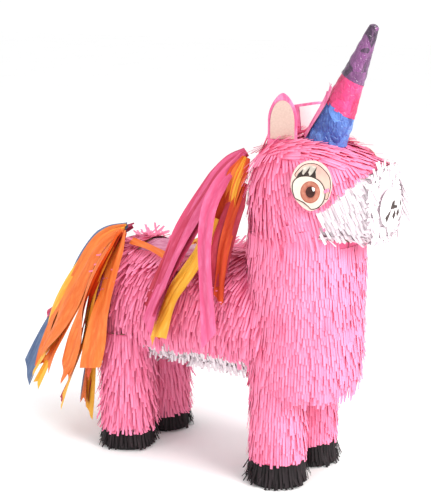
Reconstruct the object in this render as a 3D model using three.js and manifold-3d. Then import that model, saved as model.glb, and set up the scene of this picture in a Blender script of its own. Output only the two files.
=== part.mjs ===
// A standing unicorn pinata: cardboard tubes and boxes, glued together and covered with fringed tissue
// paper, with a fill flap in the back, a wrapped cone horn, printed card labels and tissue streamers.
// Millimetres. +X is the way the unicorn faces, +Y its left side, +Z up, with the soles on z = 0.
import * as THREE from 'three';
import { mergeVertices } from 'three/addons/utils/BufferGeometryUtils.js';
import { LoftGeometry } from 'three/addons/geometries/LoftGeometry.js';
import Module from 'manifold-3d';

const wasm = await Module();
wasm.setup();

// ---- cardboard, coats and clearances ----
const WALL = 3; // cardboard of every tube, box and disc
const COAT = 10; // depth of the fringed tissue over the body, neck and head
const LEG_COAT = 7; // depth of the fringed tissue over a leg
const HOOF_COAT = 8; // depth of the black fringe round a hoof
const TISSUE = 1.5; // depth of smooth glued tissue: the back patch, the flap's cover and the horn's wraps
const CARD = 1.2; // printed card of the labels
const GAP = 0.3; // between glued pieces
const FLAP_CLEARANCE = 0.8; // between the fill flap and the opening's edge

// ---- body tube ----
const BARREL_RADIUS = 91;
const BARREL_Z = 257; // height of its axis
const RUMP_SEAM_X = -140; // where the domed rump starts
const RUMP_DOME = 52; // how far the dome reaches behind the seam
const RUMP_POWER = 3.5; // how square the dome is: 2 is round
const BELLY_HALF_WIDTH = 58; // the white strip between the legs

// ---- fill opening in the back and its flap ----
const OPENING_X = -73;
const OPENING_LENGTH = 78;
const OPENING_WIDTH = 70;
const FLAP_LAP = 6; // the flap's cover laps over the opening's edge
const PATCH_MARGIN = 16; // smooth tissue round the opening, where there is no fringe
const HANGER_LENGTH = 70; // board glued under the back, for the hanging cord
const HANGER_WIDTH = 50;
const HANGER_FRONT_GAP = 14; // from the opening to that board

// ---- legs ----
const LEG_X = 148; // fore and aft of the middle
const LEG_RADIUS = 40;
const LEG_SPACE = 10; // between the left and right hooves
const LEG_Y = LEG_RADIUS + HOOF_COAT + LEG_SPACE / 2; // left and right of the middle
const LEG_TOP_DROP = 55; // a leg tube is cut to fit round the body, up to this far below its axis
const LEG_TOP_Z = BARREL_Z - LEG_TOP_DROP;
const BELLY_CLEAR = 5; // pink fringe between the belly strip and a leg's fringe
const BELLY_HALF_LENGTH = LEG_X - LEG_RADIUS - LEG_COAT - BELLY_CLEAR;
const HOOF_HEIGHT = 38;
const HOOF_CLEAR = 0.6; // the hoof fringe ends above the floor

// ---- neck and head ----
const NECK_X = 166;
const NECK_HALF_X = 82;
const NECK_PROUD = 3; // the neck box is this much wider than the body, each side
const NECK_HALF_Y = BARREL_RADIUS + NECK_PROUD;
const NECK_BELOW = 9; // its floor is this far below the body's lowest line
const NECK_FLOOR_Z = BARREL_Z - BARREL_RADIUS - NECK_BELOW;
const NECK_RISE = 143; // the seam where the head is joined on, above the body's axis
const NECK_SEAM_Z = BARREL_Z + NECK_RISE;
const HEAD_HEIGHT = 135; // above that seam
const HEAD_TOP_Z = NECK_SEAM_Z + HEAD_HEIGHT;
const HEAD_POWER = 4; // how square the top of the head is
// height above the neck's floor, share of the full width
const NECK_FOOT = [[0, 0.87], [10, 0.95], [32, 0.99], [70, 1]];

// ---- muzzle ----
const MUZZLE_END_X = 293;
const MUZZLE_SEAM_X = 238;
const MUZZLE_POWER = 2.6; // how square its cross-section is
// x from the end, half width, the middle's height above the head's seam, half height
const MUZZLE_RINGS = [
  [0, 45, 52, 45], [8, 51, 53, 51], [33, 63, 57, 57], [71, 78, 65, 64], [143, 84, 67, 65],
];
const CHEEK_RING = 3; // the ring beside the eyes
const WHITE_TOP_X = 294; // the white coat's edge at the muzzle's top
const WHITE_TOP_RISE = 112; // above the head's seam
const WHITE_SLOPE = 1.02; // forward per unit up
const WHITE_REAR_X = 226; // the white coat's edge below the cheeks

// ---- horn ----
const HORN_X = 199;
const HORN_RISE = 8; // its base point, above the head's top
const HORN_BASE = new THREE.Vector3(HORN_X, 0, HEAD_TOP_Z + HORN_RISE);
const HORN_LENGTH = 181;
const HORN_LEAN = THREE.MathUtils.degToRad(23.4); // forward of upright
const HORN_BASE_RADIUS = 30;
const HORN_TIP_RADIUS = 5.2;
const HORN_WALL = 2;
const HORN_SINK = 34; // how far the cone is drawn on below its base point, for the head to cut
const BLUE_LENGTH = 50;
const PINK_LENGTH = 50;
const WRAP_SLANT = THREE.MathUtils.degToRad(14);
const WRAP_TURN = THREE.MathUtils.degToRad(123); // round the horn, to the level line across each slanted edge
const FORELOCK_WIDTH = 26;
const FORELOCK_LENGTH = 84;
const FORELOCK_DEPTH = 3;
const FORELOCK_STAND = 3; // off the cone, past its wraps

// ---- ears ----
const EAR_WIDTH = 46;
const EAR_HEIGHT = 76;
const EAR_SINK = 16; // the right ear's foot reaches down through the coat
const EAR_Y = 43;
const EAR_X = 144;
const EAR_RISE = 6; // its base line, above the head's top
const EAR_BASE_Z = HEAD_TOP_Z + EAR_RISE;
const EAR_TURN = THREE.MathUtils.degToRad(20); // the right ear's face, forward of sideways
const LEFT_EAR_LEAN = THREE.MathUtils.degToRad(84); // the left ear has flopped over, onto its edge
const LEFT_EAR_TURN = THREE.MathUtils.degToRad(-40); // the left ear's face, from straight ahead
const LEFT_EAR_SINK = 9;
const LEFT_EAR_BACK = 19; // its foot, behind the right ear's
const LINING_WIDTH = 37;
const LINING_HEIGHT = 59;
const LINING_RISE = 1; // above the ear's base line

// ---- face labels ----
const EYE_X = 221;
const EYE_RISE = 84; // above the head's seam
const EYE_WIDTH = 61;
const EYE_HEIGHT = 73;
const EYE_TILT = THREE.MathUtils.degToRad(6); // its face looks up a little
const EYE_STAND = 2; // the flat card's middle, off the fringe of the round cheek
const EYE_TURN = THREE.MathUtils.degToRad(22); // its face, forward of sideways
const MOUTH_WIDTH = 74;
const MOUTH_HEIGHT = 60;
const MOUTH_RISE = 46; // above the head's seam
const MOUTH_Y = 6;

// ---- streamers ----
const STREAMER_DEPTH = 2;
const MANE_CLEAR = 5; // outside the body's fringe
const TAIL_ROOT_X = -172;
const GATHER = 0.35; // share of a streamer's width where it is glued on
const SPREAD_BY = 0.3; // share of its length by which it has its full width
const STREAMER_STEPS = 9; // sections along one

const SIDES = 24; // facets round a big tube
const SMALL_SIDES = 20; // facets round a leg or the horn
const DOME_STEPS = 6; // rings of facets down a dome

const COLOURS = {
  cardboard: 0xb9935f,
  pink: 0xf08fb8,
  white: 0xf3e9ea,
  black: 0x17151a,
  patch: 0xb8789a,
  blue: 0x5c86cf,
  hotpink: 0xf0508a,
  purple: 0x7c4a78,
  beige: 0xe9cfc0,
  card: 0xf2e2dc,
  orange: 0xf8842a,
  yellow: 0xf7c63e,
  lightpink: 0xf07aa8,
  crimson: 0xd63a6a,
  streamerblue: 0x5f86b8,
};

const unicorn = new THREE.Group();

// ---------------------------------------------------------------- solids
// A closed geometry as a solid, without the zero-area triangles at its poles.
function solid(geometry) {
  const bare = new THREE.BufferGeometry();
  bare.setAttribute('position', geometry.attributes.position);
  bare.setIndex(geometry.index);
  const merged = mergeVertices(bare, 1e-4);
  const index = merged.index.array;
  const triVerts = [];
  for (let i = 0; i < index.length; i += 3) {
    const [a, b, c] = [index[i], index[i + 1], index[i + 2]];
    if (a !== b && b !== c && c !== a) triVerts.push(a, b, c);
  }
  const vertProperties = new Float32Array(merged.attributes.position.array);
  const mesh = new wasm.Mesh({ numProp: 3, vertProperties, triVerts: new Uint32Array(triVerts) });
  return new wasm.Manifold(mesh);
}

function geometryOf(body) {
  const mesh = body.getMesh();
  const geometry = new THREE.BufferGeometry();
  geometry.setAttribute('position', new THREE.BufferAttribute(mesh.vertProperties, 3));
  geometry.setIndex(new THREE.BufferAttribute(mesh.triVerts, 1));
  geometry.computeVertexNormals();
  return geometry;
}

function add(name, body, colour, roughness = 0.9) {
  const material = new THREE.MeshStandardMaterial({ color: COLOURS[colour], roughness, metalness: 0 });
  const mesh = new THREE.Mesh(geometryOf(body), material);
  mesh.name = name;
  unicorn.add(mesh);
  return mesh;
}

function box(x0, x1, y0, y1, z0, z1) {
  const geometry = new THREE.BoxGeometry(x1 - x0, y1 - y0, z1 - z0);
  geometry.translate((x0 + x1) / 2, (y0 + y1) / 2, (z0 + z1) / 2);
  return solid(geometry);
}

const FAR = 1000; // past every piece
const above = (z) => box(-FAR, FAR, -FAR, FAR, z, FAR);
const below = (z) => box(-FAR, FAR, -FAR, FAR, -FAR, z);
const ahead = (x) => box(x, FAR, -FAR, FAR, -FAR, FAR);
const behind = (x) => box(-FAR, x, -FAR, FAR, -FAR, FAR);
const joined = (bodies) => bodies.reduce((whole, body) => whole.add(body));

const loft = (sections) => solid(new LoftGeometry(sections, { capStart: true, capEnd: true }));

// ---------------------------------------------------------------- forms, each grown outward by some depth
function barrelForm(grow) {
  const radius = BARREL_RADIUS + grow;
  const dome = RUMP_DOME + grow;
  const profile = [];
  for (let i = 0; i <= DOME_STEPS; i += 1) {
    const angle = (i / DOME_STEPS) * Math.PI / 2;
    const out = i === 0 ? 0 : radius * Math.sin(angle) ** (2 / RUMP_POWER);
    profile.push(new THREE.Vector2(out, RUMP_SEAM_X - dome * Math.cos(angle) ** (2 / RUMP_POWER)));
  }
  profile.push(new THREE.Vector2(radius, NECK_X), new THREE.Vector2(0, NECK_X));
  const geometry = new THREE.LatheGeometry(profile, SIDES);
  geometry.rotateZ(-Math.PI / 2).translate(0, 0, BARREL_Z);
  return solid(geometry);
}

function columnForm(grow) {
  const halfY = NECK_HALF_Y + grow;
  const profile = [new THREE.Vector2(0, NECK_FLOOR_Z - grow)];
  for (const [height, share] of NECK_FOOT) {
    const z = height === 0 ? NECK_FLOOR_Z - grow : NECK_FLOOR_Z + height;
    profile.push(new THREE.Vector2(NECK_HALF_Y * share + grow, z));
  }
  const dome = HEAD_TOP_Z + grow - NECK_SEAM_Z;
  for (let i = 0; i <= DOME_STEPS; i += 1) {
    const angle = (1 - i / DOME_STEPS) * Math.PI / 2;
    const out = i === DOME_STEPS ? 0 : halfY * Math.sin(angle) ** (2 / HEAD_POWER);
    profile.push(new THREE.Vector2(out, NECK_SEAM_Z + dome * Math.cos(angle) ** (2 / HEAD_POWER)));
  }
  const geometry = new THREE.LatheGeometry(profile, SIDES);
  geometry.rotateX(Math.PI / 2);
  geometry.scale((NECK_HALF_X + grow) / halfY, 1, 1);
  geometry.translate(NECK_X, 0, 0);
  return solid(geometry);
}

function muzzleForm(grow) {
  const rounded = (value) => Math.sign(value) * Math.abs(value) ** (2 / MUZZLE_POWER);
  const rings = MUZZLE_RINGS.map(([back, halfY, rise, halfZ]) => {
    const z = NECK_SEAM_Z + rise;
    const x = MUZZLE_END_X - back + (back === 0 ? grow : 0);
    return Array.from({ length: SIDES }, (_, i) => {
      const angle = (i / SIDES) * 2 * Math.PI;
      const y = (halfY + grow) * rounded(Math.cos(angle));
      return new THREE.Vector3(x, y, z + (halfZ + grow) * rounded(Math.sin(angle)));
    });
  });
  return loft(rings.reverse());
}

function legForm(side, end, grow, z0 = 0, z1 = LEG_TOP_Z) {
  const geometry = new THREE.CylinderGeometry(LEG_RADIUS + grow, LEG_RADIUS + grow, z1 - z0, SMALL_SIDES);
  geometry.rotateX(Math.PI / 2);
  geometry.translate(end * LEG_X, side * LEG_Y, (z0 + z1) / 2);
  return solid(geometry);
}

// The horn's own frame: x across the cone, in the plane of symmetry and forward, z along it from its base.
const hornFrame = new THREE.Matrix4().makeRotationY(HORN_LEAN).setPosition(HORN_BASE);

function coneForm(grow) {
  const slope = (HORN_BASE_RADIUS - HORN_TIP_RADIUS) / HORN_LENGTH;
  const low = HORN_BASE_RADIUS + slope * HORN_SINK + grow;
  const length = HORN_LENGTH + HORN_SINK + grow;
  const geometry = new THREE.CylinderGeometry(HORN_TIP_RADIUS + grow, low, length, SMALL_SIDES);
  geometry.rotateX(Math.PI / 2);
  geometry.translate(0, 0, (HORN_LENGTH - HORN_SINK + grow) / 2);
  geometry.applyMatrix4(hornFrame);
  return solid(geometry);
}

const LEGS = [
  { name: 'fore_right', side: -1, end: 1 },
  { name: 'fore_left', side: 1, end: 1 },
  { name: 'hind_right', side: -1, end: -1 },
  { name: 'hind_left', side: 1, end: -1 },
];

// ---------------------------------------------------------------- cardboard shell
const barrelOuter = barrelForm(0);
const columnOuter = columnForm(0);
const muzzleOuter = muzzleForm(0);
const tubeWall = barrelOuter.subtract(barrelForm(-WALL)).subtract(columnForm(GAP));
const openingLow = [OPENING_X - OPENING_LENGTH / 2, -OPENING_WIDTH / 2];
const openingHigh = [OPENING_X + OPENING_LENGTH / 2, OPENING_WIDTH / 2];

// A block over the fill opening, wider by a margin on each side, and as deep as the body.
function overOpening(margin, hingeMargin = margin) {
  return box(
    openingLow[0] - margin, openingHigh[0] + margin,
    openingLow[1] - margin, openingHigh[1] + hingeMargin,
    BARREL_Z, FAR,
  );
}

function bodyTube() {
  add('barrel_shell', tubeWall.intersect(ahead(RUMP_SEAM_X + GAP)).subtract(overOpening(0)), 'cardboard');
  add('rump_cap', tubeWall.intersect(behind(RUMP_SEAM_X)), 'cardboard');
}

function neckAndHead() {
  const boxOuter = columnOuter.add(muzzleOuter);
  const walls = boxOuter.subtract(columnForm(-WALL).add(muzzleForm(-WALL)));
  const floorTop = NECK_FLOOR_Z + WALL;
  add('neck_floor', columnOuter.intersect(below(floorTop)), 'cardboard');
  const tube = columnOuter.subtract(columnForm(-WALL)).intersect(below(NECK_SEAM_Z));
  add('neck_shell', tube.intersect(above(floorTop + GAP)), 'cardboard');
  const head = walls.intersect(above(NECK_SEAM_Z + GAP)).intersect(behind(MUZZLE_SEAM_X));
  add('head_shell', head, 'cardboard');
  const snout = walls.intersect(above(NECK_SEAM_Z + GAP)).intersect(ahead(MUZZLE_SEAM_X + GAP));
  add('muzzle_shell', snout.intersect(behind(MUZZLE_END_X - WALL - GAP)), 'cardboard');
  add('muzzle_cap', muzzleOuter.intersect(ahead(MUZZLE_END_X - WALL)), 'cardboard');
}

function hangerBoard() {
  const x0 = openingHigh[0] + HANGER_FRONT_GAP;
  const wall = barrelForm(-WALL - GAP).subtract(barrelForm(-2 * WALL - GAP));
  const plan = box(x0, x0 + HANGER_LENGTH, -HANGER_WIDTH / 2, HANGER_WIDTH / 2, BARREL_Z, FAR);
  add('hanger_board', wall.intersect(plan), 'cardboard');
}

// ---------------------------------------------------------------- fill flap
function fillFlap() {
  add('fill_flap', tubeWall.intersect(overOpening(-FLAP_CLEARANCE)), 'cardboard');
  const skin = barrelForm(GAP + TISSUE).subtract(barrelForm(GAP));
  add('flap_cover', skin.intersect(overOpening(FLAP_LAP, -FLAP_CLEARANCE)), 'patch', 0.75);
  const ring = overOpening(PATCH_MARGIN).subtract(overOpening(FLAP_LAP + FLAP_CLEARANCE, 0));
  add('back_patch', skin.intersect(ring), 'patch', 0.75);
}

// ---------------------------------------------------------------- legs and hooves
function legs() {
  const bodies = barrelForm(GAP).add(columnForm(GAP));
  for (const { name, side, end } of LEGS) {
    const bore = legForm(side, end, -WALL, 0, LEG_TOP_Z + GAP);
    const tube = legForm(side, end, 0, WALL + GAP).subtract(bore).subtract(bodies);
    add(`leg_${name}`, tube, 'cardboard');
    const sole = new THREE.CylinderGeometry(LEG_RADIUS, LEG_RADIUS, WALL, SMALL_SIDES).rotateX(Math.PI / 2);
    const disc = add(`sole_${name}`, solid(sole), 'cardboard');
    disc.position.set(end * LEG_X, side * LEG_Y, WALL / 2);
    const inner = legForm(side, end, GAP, 0, LEG_TOP_Z + GAP);
    const hoof = legForm(side, end, HOOF_COAT, HOOF_CLEAR, HOOF_HEIGHT);
    add(`hoof_fringe_${name}`, hoof.subtract(inner), 'black');
    const coat = legForm(side, end, LEG_COAT, HOOF_HEIGHT + GAP).subtract(inner).subtract(bodies);
    add(`leg_fringe_${name}`, coat, 'pink');
  }
}

// ---------------------------------------------------------------- fringed coats
const legSpace = joined(LEGS.map(({ side, end }) => legForm(side, end, LEG_COAT + GAP, 0, LEG_TOP_Z + GAP)));

function bodyCoat() {
  const coat = barrelForm(COAT).subtract(barrelForm(GAP)).subtract(columnForm(COAT + GAP)).subtract(legSpace);
  const belly = (margin) => box(
    -BELLY_HALF_LENGTH - margin, BELLY_HALF_LENGTH + margin,
    -BELLY_HALF_WIDTH - margin, BELLY_HALF_WIDTH + margin, 0, BARREL_Z,
  );
  const fringe = coat.subtract(overOpening(PATCH_MARGIN + GAP)).subtract(belly(GAP));
  add('body_fringe', fringe.intersect(ahead(RUMP_SEAM_X + GAP)), 'pink');
  add('rump_fringe', fringe.intersect(behind(RUMP_SEAM_X)), 'pink');
  add('belly_fringe', coat.intersect(belly(0)), 'white');
}

// Everything ahead of the white coat's slanted edge.
function whiteSide(shift) {
  const angle = Math.atan(WHITE_SLOPE);
  const slab = new THREE.BoxGeometry(FAR, FAR, FAR).translate(FAR / 2 + shift, 0, 0);
  slab.rotateY(angle).translate(WHITE_TOP_X, 0, NECK_SEAM_Z + WHITE_TOP_RISE);
  return solid(slab).intersect(ahead(WHITE_REAR_X + shift));
}

function neckAndHeadCoats() {
  const neck = columnForm(COAT).intersect(below(NECK_SEAM_Z)).intersect(above(NECK_FLOOR_Z));
  const bare = neck.subtract(columnForm(GAP)).subtract(muzzleForm(COAT + GAP));
  const underBody = behind(LEG_X - LEG_RADIUS - LEG_COAT - GAP).intersect(below(BARREL_Z));
  add('neck_fringe', bare.subtract(barrelForm(GAP)).subtract(legSpace).subtract(underBody), 'pink');
  const skull = columnForm(COAT).intersect(above(NECK_SEAM_Z + GAP)).add(muzzleForm(COAT));
  const eyeSpaces = [-1, 1].map((side) => eyeForm(side, COAT, GAP));
  const earSpaces = EARS.map((ear) => earForm(ear, GAP));
  const standing = joined([coneForm(GAP + TISSUE + GAP), ...earSpaces, ...eyeSpaces]);
  const coat = skull.subtract(columnForm(GAP)).subtract(muzzleForm(GAP)).subtract(standing);
  add('head_fringe', coat.subtract(whiteSide(0)), 'pink');
  add('muzzle_fringe', coat.intersect(whiteSide(GAP)), 'white');
}

// ---------------------------------------------------------------- horn
// Everything past a slanted wrap's edge, at some length up the horn.
function pastWrap(length) {
  const slab = new THREE.BoxGeometry(FAR, FAR, FAR).translate(0, 0, FAR / 2);
  const across = new THREE.Vector3(Math.cos(WRAP_TURN), Math.sin(WRAP_TURN), 0);
  slab.applyMatrix4(new THREE.Matrix4().makeRotationAxis(across, WRAP_SLANT));
  slab.translate(0, 0, length).applyMatrix4(hornFrame);
  return solid(slab);
}

function horn() {
  const headSpace = columnForm(GAP).add(muzzleForm(GAP));
  const bore = coneForm(-HORN_WALL).subtract(pastHorn(HORN_LENGTH - 2 * HORN_WALL));
  add('horn_cone', coneForm(0).subtract(bore).subtract(headSpace), 'cardboard');
  const skin = coneForm(GAP + TISSUE).subtract(coneForm(GAP)).subtract(headSpace);
  const edges = [BLUE_LENGTH, BLUE_LENGTH + PINK_LENGTH];
  const pink = skin.intersect(pastWrap(edges[0] + GAP)).subtract(pastWrap(edges[1]));
  add('horn_wrap_blue', skin.subtract(pastWrap(edges[0])), 'blue', 0.6);
  add('horn_wrap_pink', pink, 'hotpink', 0.6);
  add('horn_wrap_purple', skin.intersect(pastWrap(edges[1] + GAP)), 'purple', 0.35);
}

// Everything past a level cut across the horn.
function pastHorn(length) {
  const slab = new THREE.BoxGeometry(FAR, FAR, FAR).translate(0, 0, FAR / 2 + length);
  return solid(slab.applyMatrix4(hornFrame));
}

// A short fringed strip that stands up against the back of the horn.
function forelock() {
  const tilt = Math.atan((HORN_BASE_RADIUS - HORN_TIP_RADIUS) / HORN_LENGTH);
  const strip = new THREE.BoxGeometry(FORELOCK_DEPTH, FORELOCK_WIDTH, FORELOCK_LENGTH);
  strip.translate(-FORELOCK_DEPTH / 2, 0, FORELOCK_LENGTH / 2);
  strip.rotateY(tilt).translate(-HORN_BASE_RADIUS - FORELOCK_STAND, 0, 0);
  strip.applyMatrix4(hornFrame);
  const headSpace = columnForm(COAT + GAP).add(muzzleForm(COAT + GAP));
  add('forelock_fringe', solid(strip).subtract(headSpace), 'pink');
}

// ---------------------------------------------------------------- ears
const EARS = [
  { name: 'right', side: -1, turn: -Math.PI / 2 + EAR_TURN, lean: 0, sink: EAR_SINK, back: 0, rise: 0 },
  { name: 'left', side: 1, turn: LEFT_EAR_TURN, lean: LEFT_EAR_LEAN, sink: LEFT_EAR_SINK, back: LEFT_EAR_BACK,
    rise: EAR_WIDTH / 2 },
];

// An arch of card with a flat foot, its base line on y = 0, and its tip up.
function archShape(width, height, foot, point) {
  const half = width / 2;
  const shape = new THREE.Shape();
  shape.moveTo(-half, -foot);
  shape.lineTo(half, -foot);
  shape.lineTo(half, height * 0.42);
  shape.bezierCurveTo(half, height * 0.72, half * point, height, 0, height);
  shape.bezierCurveTo(-half * point, height, -half, height * 0.72, -half, height * 0.42);
  return shape;
}

// The ear's own frame: x across it, y up it, z out of its face.
function earFrame({ side, turn, lean, back, rise }) {
  const frame = new THREE.Matrix4().makeTranslation(EAR_X - back, side * EAR_Y, EAR_BASE_Z + rise);
  frame.multiply(new THREE.Matrix4().makeRotationZ(turn + Math.PI / 2));
  frame.multiply(new THREE.Matrix4().makeRotationX(Math.PI / 2));
  return frame.multiply(new THREE.Matrix4().makeRotationZ(-lean));
}

function earForm(ear, grow) {
  const shape = archShape(EAR_WIDTH + 2 * grow, EAR_HEIGHT + grow, ear.sink + grow, 0.3);
  const depth = WALL + 2 * grow;
  const geometry = new THREE.ExtrudeGeometry(shape, { depth, bevelEnabled: false, curveSegments: 6 });
  geometry.translate(0, 0, -WALL - grow).applyMatrix4(earFrame(ear));
  return solid(geometry);
}

function ears() {
  const headSpace = columnForm(GAP).add(muzzleForm(GAP));
  const coatSpace = columnForm(COAT + GAP).add(muzzleForm(COAT + GAP));
  for (const ear of EARS) {
    add(`ear_${ear.name}`, earForm(ear, 0).subtract(headSpace), 'pink');
    const shape = archShape(LINING_WIDTH, LINING_HEIGHT, 0, 0.55);
    const geometry = new THREE.ExtrudeGeometry(shape, { depth: CARD, bevelEnabled: false, curveSegments: 6 });
    geometry.translate(0, LINING_RISE, GAP).applyMatrix4(earFrame(ear));
    add(`ear_lining_${ear.name}`, solid(geometry).subtract(coatSpace), 'beige', 0.6);
  }
}

// ---------------------------------------------------------------- face labels
function eyeForm(side, depth, grow) {
  const flip = -side;
  const half = EYE_WIDTH / 2 + grow;
  const tall = EYE_HEIGHT + 2 * grow;
  const shape = new THREE.Shape();
  shape.moveTo(0, -tall / 2);
  shape.quadraticCurveTo(flip * half, -tall * 0.36, flip * half, tall * 0.1);
  shape.bezierCurveTo(flip * half, tall * 0.38, flip * half * 0.55, tall / 2, 0, tall / 2);
  shape.bezierCurveTo(-flip * half * 0.55, tall / 2, -flip * half, tall * 0.38, -flip * half, tall * 0.1);
  shape.quadraticCurveTo(-flip * half, -tall * 0.3, 0, -tall / 2);
  const geometry = new THREE.ExtrudeGeometry(shape, { depth, bevelEnabled: false, curveSegments: 6 });
  geometry.translate(0, 0, -grow).rotateX(Math.PI / 2).rotateX(-EYE_TILT);
  geometry.rotateZ(side < 0 ? EYE_TURN : Math.PI - EYE_TURN);
  const [, cheek] = MUZZLE_RINGS[CHEEK_RING];
  geometry.translate(EYE_X, side * (cheek + COAT + EYE_STAND), NECK_SEAM_Z + EYE_RISE);
  return solid(geometry);
}

function eyes() {
  add('eye_label_right', eyeForm(-1, CARD, 0), 'card', 0.5);
  add('eye_label_left', eyeForm(1, CARD, 0), 'card', 0.5);
}

function mouth() {
  const half = MOUTH_WIDTH / 2;
  const shape = new THREE.Shape();
  shape.absellipse(0, 0, half, MOUTH_HEIGHT / 2, 0, 2 * Math.PI);
  const geometry = new THREE.ExtrudeGeometry(shape, { depth: CARD, bevelEnabled: false, curveSegments: 8 });
  geometry.rotateX(Math.PI / 2).rotateZ(Math.PI / 2);
  geometry.translate(MUZZLE_END_X + COAT + GAP, MOUTH_Y, NECK_SEAM_Z + MOUTH_RISE);
  add('mouth_label', solid(geometry), 'card', 0.6);
}

// ---------------------------------------------------------------- streamers
// A flat strip of tissue along a smooth route of [x, y, z] points, gathered narrow where it is glued on.
function streamer(name, route, width, face, colour) {
  const curve = new THREE.CatmullRomCurve3(route.map(([x, y, z]) => new THREE.Vector3(x, y, z)));
  const sections = Array.from({ length: STREAMER_STEPS + 1 }, (_, i) => {
    const t = i / STREAMER_STEPS;
    const along = curve.getTangentAt(t);
    const across = new THREE.Vector3(...face).cross(along).normalize();
    const out = new THREE.Vector3().crossVectors(along, across);
    const half = (width / 2) * Math.min(1, GATHER + (1 - GATHER) * t / SPREAD_BY);
    const corner = (a, b) => curve.getPointAt(t)
      .addScaledVector(across, a * half).addScaledVector(out, b * STREAMER_DEPTH / 2);
    return [corner(1, -1), corner(1, 1), corner(-1, 1), corner(-1, -1)];
  });
  add(name, loft(sections), colour, 0.8);
}

// beside the fringe of the body and the legs, on the right
const outside = -Math.max(BARREL_RADIUS + COAT, LEG_Y + LEG_RADIUS + LEG_COAT) - MANE_CLEAR;

function mane() {
  const rear = NECK_X - NECK_HALF_X - COAT;
  // Points as back from the neck's rear, share of the way out to the right side, down from the head's top.
  const place = ([back, share, down]) => [rear - back, outside * share, HEAD_TOP_Z - down];
  const hung = (points) => points.map(place);
  const out = [-0.3, -0.92, 0.25];
  streamer('mane_pink_outer', hung([
    [12, 0.12, 22], [36, 0.32, 43], [62, 0.55, 95], [86, 0.81, 157], [106, 1, 217],
    [122, 1.06, 255], [136, 1.08, 291]
  ]), 30, out, 'hotpink');
  streamer('mane_pink_front', hung([
    [9, 0.25, 24], [28, 0.53, 63], [36, 0.77, 105], [32, 0.94, 157], [22, 1.06, 205],
    [14, 1.11, 259], [10, 1.12, 317]
  ]), 15, [0.1, -0.98, 0.2], 'lightpink');
  streamer('mane_yellow', hung([
    [34, 0.6, 123], [46, 0.79, 169], [64, 0.96, 213], [86, 1.02, 250], [116, 1.03, 319]
  ]), 24, out, 'yellow');
  streamer('mane_orange', hung([
    [-5, 0.38, 26], [12, 0.47, 73], [22, 0.51, 120], [26, 0.55, 155]
  ]), 17, [0.1, -0.98, 0.1], 'orange');
  streamer('mane_crimson', hung([
    [8, 0.6, 135], [14, 0.74, 163], [14, 0.87, 200], [16, 0.93, 235]
  ]), 28, [0.1, -0.98, 0.2], 'crimson');
  // Points as back from the neck's rear, degrees down round the body from its top, and clear of its fringe.
  const laid = (points) => points.map(([back, turn, clear]) => {
    const radius = BARREL_RADIUS + COAT + clear;
    const angle = THREE.MathUtils.degToRad(turn);
    return [rear - back, -radius * Math.sin(angle), BARREL_Z + radius * Math.cos(angle)];
  });
  streamer('mane_back_orange', laid([
    [94, 46.3, 9], [156, 34.3, 8], [213, 27.2, 8]
  ]), 14, [0, -0.55, 0.84], 'orange');
  streamer('mane_back_yellow', laid([
    [84, 11.1, 14.2], [93, 20.1, 13], [110, 28.9, 13.2], [128, 35.4, 14.3]
  ]), 12, [0, -0.45, 0.89], 'yellow');
}

function tail() {
  const top = BARREL_Z + BARREL_RADIUS + COAT; // the root's height is from the rump's top
  // Points as back from the tail's root, share of the way out to the right side, and down from the root.
  const place = ([back, share, down]) => [TAIL_ROOT_X - back, outside * share, top - down];
  const hung = (points) => points.map(place);
  const out = [-0.4, -0.8, 0.45];
  streamer('tail_orange_outer', hung([
    [6, 0.226, -3], [21, 0.434, 9], [39, 0.547, 38], [61, 0.566, 79], [87, 0.566, 125],
    [113, 0.566, 171], [142, 0.566, 212], [162, 0.566, 243]
  ]), 28, out, 'orange');
  streamer('tail_orange_middle', hung([
    [0, 0.321, -1], [-5, 0.604, 13], [-1, 0.84, 40], [8, 0.972, 74], [26, 0.925, 116],
    [49, 0.792, 164], [71, 0.726, 208], [90, 0.679, 240]
  ]), 28, [-0.6, -0.75, 0.3], 'orange');
  streamer('tail_orange_inner', hung([
    [-12, 0.377, -2], [-21, 0.585, 10], [-27, 0.792, 30], [-29, 0.934, 55], [-27, 1.038, 88],
    [-17, 1.057, 123], [-8, 1.038, 158], [2, 1.028, 194], [12, 1.019, 228]
  ]), 26, [-0.3, -0.95, 0.1], 'orange');
  streamer('tail_yellow', hung([
    [11, 0.075, -5], [53, 0.047, 12], [89, 0.075, 47], [133, 0.113, 112], [171, 0.132, 172],
    [195, 0.151, 232], [205, 0.17, 273]
  ]), 24, out, 'yellow');
  streamer('tail_blue', hung([
    [14, -0.019, -5], [70, -0.057, 19], [116, -0.075, 64], [163, -0.057, 133], [207, -0.038, 207],
    [248, -0.019, 286]
  ]), 24, out, 'streamerblue');
  streamer('tail_pink', hung([
    [12, -0.151, -5], [74, -0.264, 26], [114, -0.264, 63], [156, -0.245, 120], [189, -0.226, 163],
    [221, -0.189, 187]
  ]), 22, out, 'hotpink');
  streamer('tail_crimson', hung([
    [16, 0.057, 0], [44, 0.075, 40], [56, 0.113, 91], [69, 0.17, 155], [81, 0.208, 220],
    [88, 0.226, 276], [92, 0.245, 322]
  ]), 24, out, 'crimson');
}

bodyTube();
neckAndHead();
hangerBoard();
fillFlap();
legs();
bodyCoat();
neckAndHeadCoats();
horn();
forelock();
ears();
eyes();
mouth();
mane();
tail();

// The origin is on the floor, under the middle of the whole unicorn's box.
const middle = new THREE.Box3().setFromObject(unicorn).getCenter(new THREE.Vector3());
unicorn.position.set(-middle.x, -middle.y, 0);

export default unicorn;
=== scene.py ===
import math
import random
from math import cos, pi, radians, sin

import bpy
import numpy as np
from mathutils import Matrix, Vector, noise


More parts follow.
